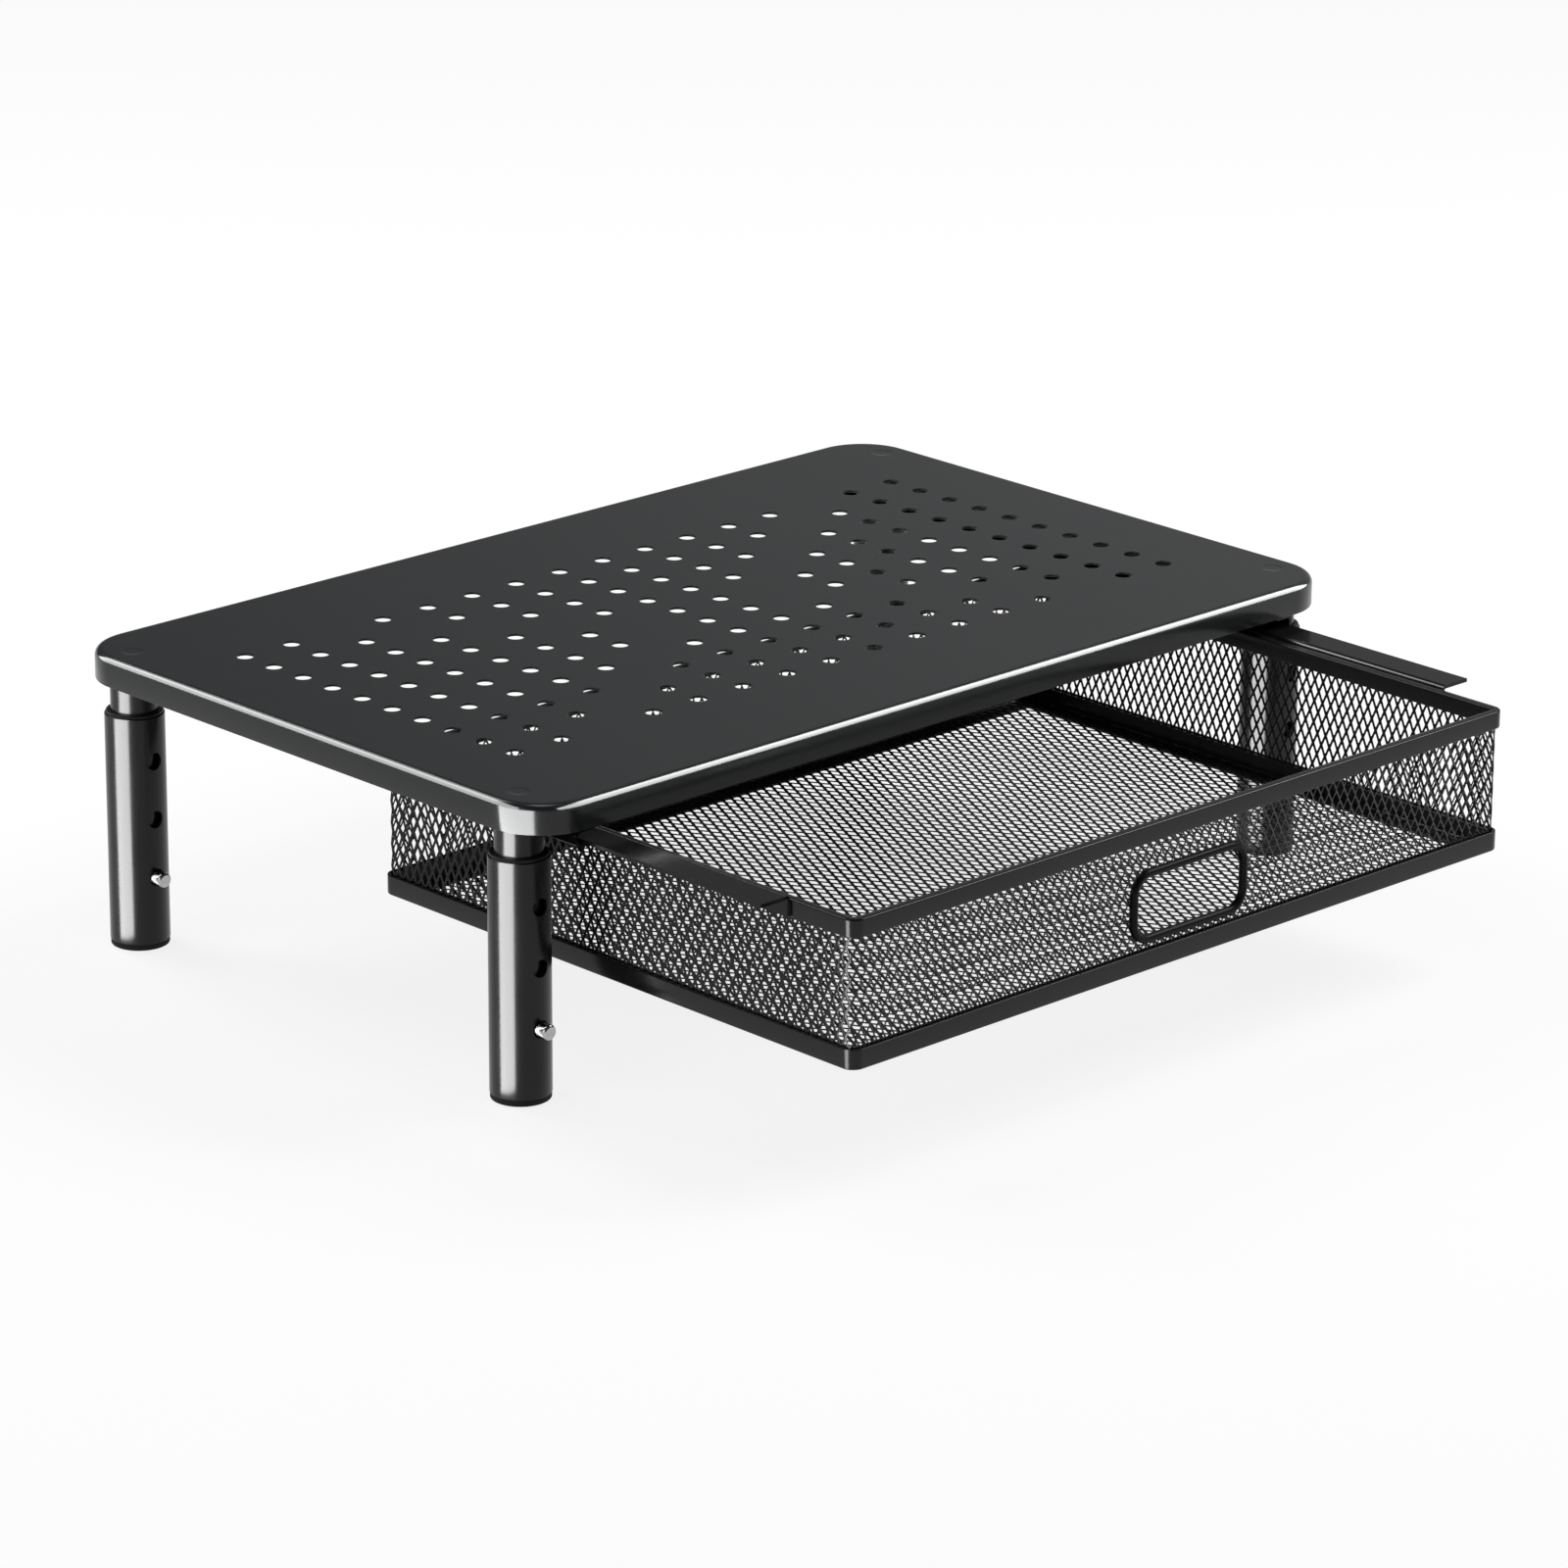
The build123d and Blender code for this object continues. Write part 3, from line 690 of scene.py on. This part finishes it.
def bead_outline(p):
    """Middle height, half size and corner radius of the line that the bead follows."""
    lo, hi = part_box("handle_frame")
    half_x = (hi.x - lo.x) / 2 - p.bead / 2
    half_z = (hi.z - lo.z) / 2 - p.bead / 2
    return (lo.z + hi.z) / 2, half_x, half_z, p.bead_corner - p.bead / 2


def bead_mesh(p):
    """Round bead along the edge of the finger hole."""
    lo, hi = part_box("handle_frame")
    middle, half_x, half_z, corner = bead_outline(p)
    plane = (lo.y + hi.y) / 2
    radius = p.bead / 2
    section = [(radius * cos(a), radius * sin(a)) for a in (2 * pi * step / 24 for step in range(24))]
    shape = band(section, half_x, half_z, corner, lambda x, z, y: (x, plane + y, middle + z), steps=14)
    return clean_mesh("finger_hole_bead", shape)


def wall_path(half_x, half_y, corner):
    """The closed line of the wall mesh from the front's middle, its length, and where its walls meet."""
    front = half_x - corner
    bend = corner * pi / 2
    side = 2 * (half_y - corner)
    total = 2 * (2 * front + 2 * bend + side)

    def point(along):
        """Place and outward direction at a distance to the right, or to the left if it is negative."""
        hand = 1 if along >= 0 else -1
        way = abs(along)
        if way <= front:
            x, y, out_x, out_y = way, -half_y, 0, -1
        elif way <= front + bend:
            angle = (way - front) / corner
            out_x, out_y = sin(angle), -cos(angle)
            x, y = front + corner * out_x, corner - half_y + corner * out_y
        elif way <= front + bend + side:
            x, y, out_x, out_y = half_x, corner - half_y + way - front - bend, 1, 0
        elif way <= front + 2 * bend + side:
            angle = (way - front - bend - side) / corner
            out_x, out_y = cos(angle), sin(angle)
            x, y = front + corner * out_x, half_y - corner + corner * out_y
        else:
            x, y, out_x, out_y = total / 2 - way, half_y, 0, 1
        return hand * x, y, hand * out_x, out_y

    return point, total, (front + bend / 2, front + 1.5 * bend + side)


def diamond(p, pitch, strand, knuckle):
    """Corners of one diamond cell, and its opening at the sheet's face and inside it."""
    half_u, half_v = pitch[0] / 2, pitch[1] / 2
    reach = half_u * half_v / hypot(half_u, half_v)

    def opening(width):
        part = 1 - width / (2 * reach)
        end = min(knuckle / 2, part * half_u / 2)
        tall = part * half_v - end * half_v / half_u
        wide = part * half_u
        return [(wide, 0), (end, tall), (-end, tall), (-wide, 0), (-end, -tall), (end, -tall)]

    return opening(strand - 2 * p.softness), opening(strand)


def expanded_sheet(p, pitch, sheet, strand, twist, knuckle, cells, wrap, place, limit):
    """Expanded metal: one ring of strands round each diamond opening, joined at shared corners.

    Cells are centres in half pitches. Place gives a point from its place in the sheet and its height off
    the middle of the sheet. Limit moves a place that lies outside the sheet to the sheet's edge.
    """
    face_gap, core_gap = diamond(p, pitch, strand, knuckle)
    half = sheet / 2
    core = half - p.softness
    layers = [(face_gap, half), (core_gap, core), (core_gap, -core), (face_gap, -half)]
    wide = core_gap[0][0]
    verts, faces, known = [], [], {}

    def corner(column, row):
        key = (column % wrap if wrap else column, row)
        if key not in known:
            u, v = limit(column * pitch[0] / 2, row * pitch[1] / 2)
            known[key] = len(verts)
            verts.extend([place(u, v, half), place(u, v, -half)])
        return known[key]

    for column, row in cells:
        around = [corner(column + du, row + dv) for du, dv in ((1, 0), (0, 1), (-1, 0), (0, -1))]
        first = len(verts)
        for gap, height in layers:
            for du, dv in gap:
                u, v = limit(column * pitch[0] / 2 + du, row * pitch[1] / 2 + dv)
                verts.append(place(u, v, height + twist * du / wide))
        for side, base in ((0, first), (1, first + 18)):
            right, top, left, bottom = (index + side for index in around)
            faces += [(right, top, base + 1, base), (top, base + 2, base + 1)]
            faces += [(top, left, base + 3, base + 2), (left, bottom, base + 4, base + 3)]
            faces += [(bottom, base + 5, base + 4), (bottom, right, base, base + 5)]
        for layer in range(3):
            upper = first + 6 * layer
            for step in range(6):
                beside = (step + 1) % 6
                faces.append((upper + step, upper + beside, upper + 6 + beside, upper + 6 + step))
    return verts, faces


def wall_meshes(p):
    """The four mesh walls by name, one strip that bends round the corners, cut out at the finger hole."""
    centre, half, _, _ = drawer_frame("drawer_bottom_rim")
    inset = p.rim / 2
    low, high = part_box("mesh_front")[0].z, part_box("mesh_front")[1].z
    point, total, meets = wall_path(half.x - inset, half.y - inset, p.corner - inset)
    columns = round(total / p.short_way)
    pitch = (total / columns, p.long_way)
    middle, hole_x, hole_z, hole_corner = bead_outline(p)
    origin = (low + high) / 2

    def place(u, v, height):
        x, y, out_x, out_y = point(u)
        return (centre.x + x + out_x * height, centre.y + y + out_y * height, origin + v)

    def hole_depth(u, v):
        """How deep a place lies in the finger hole, with the way out of it."""
        over_x = abs(u) - (hole_x - hole_corner)
        over_z = abs(origin + v - middle) - (hole_z - hole_corner)
        if over_x > 0 and over_z > 0:
            reach = hypot(over_x, over_z)
            return hole_corner - reach, over_x / reach, over_z / reach
        if over_x > over_z:
            return hole_corner - over_x, 1, 0
        return hole_corner - over_z, 0, 1

    def limit(u, v):
        v = min(max(v, low - origin), high - origin)
        depth, out_u, out_v = hole_depth(u, v)
        if depth > 0:
            u += depth * out_u * (1 if u >= 0 else -1)
            v += depth * out_v * (1 if origin + v >= middle else -1)
        return u, v

    def wall_at(u):
        if abs(u) <= meets[0]:
            return "front"
        if abs(u) > meets[1]:
            return "back"
        return "left" if u < 0 else "right"

    rows = int((high - low) / p.long_way) + 1
    walls = {"front": [], "back": [], "left": [], "right": []}
    for row in range(-rows, rows + 1):
        if abs(row) * p.long_way / 2 - p.long_way / 2 >= (high - low) / 2:
            continue
        for column in range(-columns, columns):
            near = (column * pitch[0] / 2, row * p.long_way / 2)
            if (column + row) % 2 == 0 and hole_depth(*near)[0] < p.long_way / 2:
                walls[wall_at(near[0])].append((column, row))
    meshes = {}
    for wall, cells in walls.items():
        sheet = expanded_sheet(
            p, pitch, p.wall_sheet, p.wall_strand, p.wall_twist, p.knuckle, cells, 2 * columns, place, limit
        )
        meshes[wall] = clean_mesh(f"wall_mesh_{wall}", sheet)
    return meshes


def floor_mesh(p):
    """The mesh floor on the ledge of the bottom rim."""
    lo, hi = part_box("mesh_floor")
    centre, half = (lo + hi) / 2, (hi - lo) / 2
    pitch = (2 * half.x / round(2 * half.x / p.short_way), p.long_way)
    level = lo.z + p.floor_sheet / 2 + p.floor_twist

    def place(u, v, height):
        return (centre.x + u, centre.y + v, level + height)

    def limit(u, v):
        return min(max(u, -half.x), half.x), min(max(v, -half.y), half.y)

    columns, rows = round(2 * half.x / pitch[0]), int(2 * half.y / p.long_way) + 1
    cells = []
    for row in range(-rows, rows + 1):
        for column in range(-columns, columns + 1):
            inside_x = (abs(column) - 1) * pitch[0] / 2 < half.x - WELD
            inside_y = (abs(row) - 1) * p.long_way / 2 < half.y
            if inside_x and inside_y and (column + row) % 2 == 0:
                cells.append((column, row))
    sheet = expanded_sheet(
        p, pitch, p.floor_sheet, p.floor_strand, p.floor_twist, 0, cells, 0, place, limit
    )
    return clean_mesh("floor_mesh", sheet)


class RISER_OT_platform(Operator):
    """Build the perforated tray"""

    bl_idname = "riser.platform"
    bl_label = "Platform"

    def execute(self, context):
        shape, levels = tray_shape(context.scene.riser_platform)
        mesh = clean_mesh("platform_tray", shape, levels)
        tray = show("platform_tray", mesh, sprayed(context.scene.riser_finish, "tray"))
        dress(tray, "platform", "platform_coat", "platform")
        return {"FINISHED"}


class RISER_OT_rails(Operator):
    """Finish the rails, the runners and the posts, which keep their CAD form"""

    bl_idname = "riser.rails"
    bl_label = "Rails, runners and posts"

    def execute(self, context):
        finish = context.scene.riser_finish
        for node in ("rail_left", "rail_right", "runner_left", "runner_right"):
            paint_node(node, sprayed(finish, "rail"))
        for corner in CORNERS:
            paint_node(f"leg_post_{corner}", sprayed(finish, "leg"))
        return {"FINISHED"}


class RISER_OT_legs(Operator):
    """Build the lower tubes, the guide bushes and the feet"""

    bl_idname = "riser.legs"
    bl_label = "Legs"

    def execute(self, context):
        p, finish = context.scene.riser_legs, context.scene.riser_finish
        paint = sprayed(finish, "leg")
        nylon = coat("bush_nylon", finish.nylon, finish.nylon_rough, 700.0, 0.010)
        rubber = coat("foot_moulding", finish.rubber, finish.rubber_rough, 1200.0, 0.030)
        parts = (
            ("leg_sleeve", sleeve_mesh(p, paint), paint, "leg_coat"),
            ("guide_bush", bush_mesh(p), nylon, "bush_plastic"),
            ("rubber_foot", foot_mesh(p), rubber, "foot_rubber"),
        )
        for corner in CORNERS:
            for node, mesh, material, slot in parts:
                piece = show(f"{node}_shown_{corner}", mesh, material, leg_axis(corner))
                dress(piece, f"leg_{corner}", slot, f"{node}_{corner}")
        return {"FINISHED"}


class RISER_OT_snap_clips(Operator):
    """Build the snap clips: a spring leaf and a domed button on each leg"""

    bl_idname = "riser.snap_clips"
    bl_label = "Snap clips"

    def execute(self, context):
        p, finish = context.scene.riser_legs, context.scene.riser_finish
        chrome = plating("clip_chrome", finish.chrome, finish.chrome_rough)
        for corner in CORNERS:
            axis = leg_axis(corner)
            node = f"snap_clip_{corner}"
            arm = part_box(node)[1].y - axis.y
            leaf = show(f"clip_leaf_{corner}", clip_leaf_mesh(p, corner), chrome, axis)
            rear, front = axis + Vector((0, arm, p.lowest)), axis + Vector((0, -arm, p.lowest))
            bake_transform(leaf)
            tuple(rear)
            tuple(front)
            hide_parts(node)
            button = show(f"snap_button_{corner}", button_mesh(p, corner), chrome, axis)
            dress(button, f"button_{corner}", "spring_chrome", node)
        return {"FINISHED"}


class RISER_OT_drawer_rims(Operator):
    """Build the two folded rims of the drawer and the bead of its finger hole"""

    bl_idname = "riser.drawer_rims"
    bl_label = "Drawer rims"

    def execute(self, context):
        p, finish = context.scene.riser_drawer, context.scene.riser_finish
        for node in ("drawer_top_rim", "drawer_bottom_rim"):
            rim = show(f"{node}_shown", rim_mesh(p, node), sprayed(finish, "drawer"))
            dress(rim, "drawer", "drawer_coat", node)
        bead = show("finger_hole_bead", bead_mesh(p), sprayed(finish, "bead"))
        dress(bead, "drawer", "drawer_coat", "handle_frame")
        return {"FINISHED"}


class RISER_OT_drawer_mesh(Operator):
    """Build the expanded metal of the drawer's walls and floor"""

    bl_idname = "riser.drawer_mesh"
    bl_label = "Drawer mesh"

    def execute(self, context):
        p, paint = context.scene.riser_drawer, sprayed(context.scene.riser_finish, "strand")
        for wall, mesh in wall_meshes(p).items():
            piece = show(f"wall_mesh_{wall}", mesh, paint)
            dress(piece, "drawer", "mesh_coat", f"mesh_{wall}")
        dress(show("floor_mesh", floor_mesh(p), paint), "drawer", "mesh_coat", "mesh_floor")
        return {"FINISHED"}


class RISER_OT_fixings(Operator):
    """Finish the studs and inserts inside the legs, which keep their CAD form"""

    bl_idname = "riser.fixings"
    bl_label = "Fixings"

    def execute(self, context):
        finish = context.scene.riser_finish
        zinc = plating("fixing_zinc", finish.zinc, finish.zinc_rough)
        for node in ("leg_studs", "post_inserts"):
            paint_node(node, zinc)
        return {"FINISHED"}


def lamp(name, place, back, along, width, length, brightness):
    """A soft lamp, as bright as so many times white. Back points away from what it lights."""
    light = bpy.data.lights.new(name, "AREA")
    light.shape = "RECTANGLE"
    light.size, light.size_y = width, length
    light.energy = brightness * pi * width * length
    holder = bpy.data.objects.new(name, light)
    back = Vector(back).normalized()
    across = Vector(along).cross(back).normalized()
    turn = Matrix((across, back.cross(across), back)).transposed().to_4x4()
    holder.matrix_world = Matrix.Translation(place) @ turn
    bpy.context.scene.collection.objects.link(holder)
    return holder


def only_gleam(holder, pieces):
    """Let a lamp show only as a gleam on these pieces."""
    holder.visible_camera = False
    holder.visible_diffuse = False
    lit = bpy.data.collections.new(holder.name)
    for piece in pieces:
        lit.objects.link(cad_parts.get(piece) or bpy.data.objects[piece])
    holder.light_linking.receiver_collection = lit


def softboxes(aim):
    """Soft lamps round the object, and those that only gleam on some pieces."""
    for name, way, along, distance, width, reach, brightness, pieces in SOFTBOXES:
        way = Vector(way).normalized()
        holder = lamp(name, Vector(aim) + way * distance, way, along, width, reach, brightness)
        if pieces:
            only_gleam(holder, pieces)


def edge_strip(name, axis, strip, *pieces):
    """A narrow upright lamp that faces right, whose gleam runs down a round edge."""
    offset, width, low, high, brightness = strip
    place = axis + offset + Vector((0, 0, (low + high) / 2))
    only_gleam(lamp(name, place, (-1, 0, 0), (0, 0, 1), width, high - low, brightness), pieces)


def bend_strip(name, edge, outward, along, half_length, radius, sight, brightness):
    """A lamp close to a straight bend of the tray, which the camera sees mirrored as a thin line."""
    centre = edge - outward * radius - Vector((0, 0, radius))
    sides = []
    for angle, gap in LINE_SIDES:
        normal = outward * sin(angle) + Vector((0, 0, cos(angle)))
        sides.append(centre + normal * radius + sight.reflect(normal) * gap)
    across = sides[0] - sides[1]
    across -= along * across.dot(along)
    back = along.cross(across)
    if back.z < 0:
        back.negate()
    reach = 2 * (half_length + LINE_EXTRA)
    place = (sides[0] + sides[1]) / 2
    only_gleam(lamp(name, place, back, along, across.length, reach, brightness), ("platform_tray",))


def camera_back(stage):
    """The way from the aim to the camera."""
    az, el = stage.azimuth, stage.elevation
    return Vector((sin(az) * cos(el), -cos(az) * cos(el), sin(el)))


def bend_strips(stage, tray):
    """The bright lines along the tray's front and left edges."""
    low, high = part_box("platform")
    middle = (low + high) / 2
    sight = -camera_back(stage)
    front = Vector((middle.x, low.y, high.z))
    left = Vector((low.x, middle.y, high.z))
    half_x = (high.x - low.x) / 2 - tray.corner
    half_y = (high.y - low.y) / 2 - tray.corner
    x_way, y_way = Vector((1, 0, 0)), Vector((0, 1, 0))
    bend_strip("front_line", front, -y_way, x_way, half_x, tray.edge, sight, FRONT_LINE)
    bend_strip("left_line", left, -x_way, y_way, half_y, tray.edge, sight, LEFT_LINE)


def edge_strips(drawer_corner):
    """The strips of the legs that show, of the tray's near corner and of the drawer's."""
    for corner in ("front_left", "rear_left", "front_right"):
        sleeve, post = f"leg_sleeve_shown_{corner}", f"leg_post_{corner}"
        edge_strip(f"{corner}_strip", leg_axis(corner), LEG_STRIP, sleeve, post)
    edge_strip("tray_strip", leg_axis("front_left"), TRAY_STRIP, "platform_tray")
    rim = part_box("drawer_top_rim")[0]
    near = Vector((rim.x, rim.y + drawer_corner, 0))
    rims = ("drawer_top_rim_shown", "drawer_bottom_rim_shown")
    edge_strip("drawer_strip", near, DRAWER_STRIP, *rims, "wall_mesh_front", "wall_mesh_left")


def seen_directly(nodes, link):
    """1 for what the eye sees straight, in a mirror or through glass, and 0 for what only lights."""
    rays = added(nodes, "LightPath")
    either = added(nodes, "Math", operation="ADD")
    link(rays, "Is Camera Ray", either, 0)
    link(rays, "Is Glossy Ray", either, 1)
    any_of = added(nodes, "Math", operation="ADD", use_clamp=True)
    link(either, "Value", any_of, 0)
    link(rays, "Is Transmission Ray", any_of, 1)
    return any_of


def pale_floor(stage):
    """A wide plain floor that keeps the object's shadow."""
    material = bpy.data.materials.new("pale_floor")
    material.use_nodes = True
    nodes, link = material.node_tree.nodes, linker(material.node_tree)
    shader = nodes["Principled BSDF"]
    preset(shader, {"Base Color": (*stage.floor, 1), "Roughness": 1, "Specular IOR Level": 0})
    preset(shader, {"Emission Color": (1, 1, 1, 1)})
    glow = added(nodes, "Math", {1: stage.floor_glow}, operation="MULTIPLY")
    link(seen_directly(nodes, link), "Value", glow, 0)
    link(glow, "Value", shader, "Emission Strength")
    mesh = bpy.data.meshes.new("floor")
    around = ((-1, -1), (1, -1), (1, 1), (-1, 1))
    corners = [(x * FLOOR_REACH, y * FLOOR_REACH, -FLOOR_DROP) for x, y in around]
    mesh.from_pydata(corners, [], [(0, 1, 2, 3)])
    floor = show("floor", mesh, material)


def studio_sky(stage):
    """A dim surround, brighter to the right, that turns white at the horizon."""
    world = bpy.data.worlds.new("studio")
    world.use_nodes = True
    nodes, link = world.node_tree.nodes, linker(world.node_tree)
    bpy.context.scene.world = world
    way = added(nodes, "TexCoord")
    parts = added(nodes, "SeparateXYZ")
    link(way, "Generated", parts, "Vector")
    sides = {"From Min": 0.5, "From Max": 0.8, "To Min": stage.sky, "To Max": stage.sky_right}
    right = added(nodes, "MapRange", sides, interpolation_type="SMOOTHSTEP")
    link(parts, "X", right, "Value")
    height = added(nodes, "MapRange", {"From Max": 0.14}, interpolation_type="SMOOTHSTEP")
    link(parts, "Z", height, "Value")
    level = added(nodes, "Mix", {"A": 1})
    link(height, "Result", level, "Factor")
    link(right, "Result", level, "B")
    link(level, "Result", nodes["Background"], "Strength")
    preset(nodes["Background"], {"Color": (1, 1, 1, 1)})


def photo_camera(stage):
    """The camera at the photograph's viewing angle."""
    data = bpy.data.cameras.new("camera")
    data.lens = stage.lens
    data.clip_end = 50
    camera = bpy.data.objects.new("camera", data)
    bpy.context.scene.collection.objects.link(camera)
    back = camera_back(stage)
    level_right = Vector((cos(stage.azimuth), sin(stage.azimuth), 0))
    level_up = back.cross(level_right)
    right = level_right * cos(stage.roll) + level_up * sin(stage.roll)
    up = level_up * cos(stage.roll) - level_right * sin(stage.roll)
    turn = Matrix((right, up, back)).transposed().to_4x4()
    camera.matrix_world = Matrix.Translation(Vector(stage.aim) + back * stage.distance) @ turn
    bpy.context.scene.camera = camera


class RISER_OT_stage(Operator):
    """Set the floor, the lamps and the camera"""

    bl_idname = "riser.stage"
    bl_label = "Stage"

    def execute(self, context):
        stage = context.scene.riser_stage
        pale_floor(stage)
        studio_sky(stage)
        softboxes(stage.aim)
        bend_strips(stage, context.scene.riser_platform)
        edge_strips(context.scene.riser_drawer.corner)
        photo_camera(stage)
        context.scene.view_settings.view_transform = "Standard"
        return {"FINISHED"}


OPERATORS = (
    RISER_OT_platform,
    RISER_OT_rails,
    RISER_OT_legs,
    RISER_OT_snap_clips,
    RISER_OT_drawer_rims,
    RISER_OT_drawer_mesh,
    RISER_OT_fixings,
    RISER_OT_stage,
)
GROUPS = {
    "riser_platform": RiserPlatformSizes,
    "riser_legs": RiserLegSizes,
    "riser_drawer": RiserDrawerSizes,
    "riser_finish": RiserFinish,
    "riser_stage": RiserStage,
}


class RISER_PT_panel(Panel):
    """Steps and sizes of the riser, in the 3D view's sidebar"""

    bl_idname = "RISER_PT_panel"
    bl_label = "Monitor riser"
    bl_space_type = "VIEW_3D"
    bl_region_type = "UI"
    bl_category = "Riser"

    def draw(self, context):
        for operator in OPERATORS:
            self.layout.operator(operator.bl_idname)
        for name, group in GROUPS.items():
            box = self.layout.box()
            for field in group.__annotations__:
                box.prop(getattr(context.scene, name), field)


def register():
    """Register the classes and hang the settings on the scene."""
    for cls in (*GROUPS.values(), *OPERATORS, RISER_PT_panel):
        bpy.utils.register_class(cls)
    for name, group in GROUPS.items():
        setattr(bpy.types.Scene, name, PointerProperty(type=group))


def unregister():
    """Take the settings and the classes out again."""
    for name in GROUPS:
        delattr(bpy.types.Scene, name)
    for cls in (RISER_PT_panel, *reversed(OPERATORS), *GROUPS.values()):
        bpy.utils.unregister_class(cls)


def main():
    """Run every step in order."""
    register()
    bpy.ops.riser.platform()
    bpy.ops.riser.rails()
    bpy.ops.riser.legs()
    bpy.ops.riser.snap_clips()
    bpy.ops.riser.drawer_rims()
    bpy.ops.riser.drawer_mesh()
    bpy.ops.riser.fixings()
    bpy.ops.riser.stage()


if __name__ == "__main__":
    main()
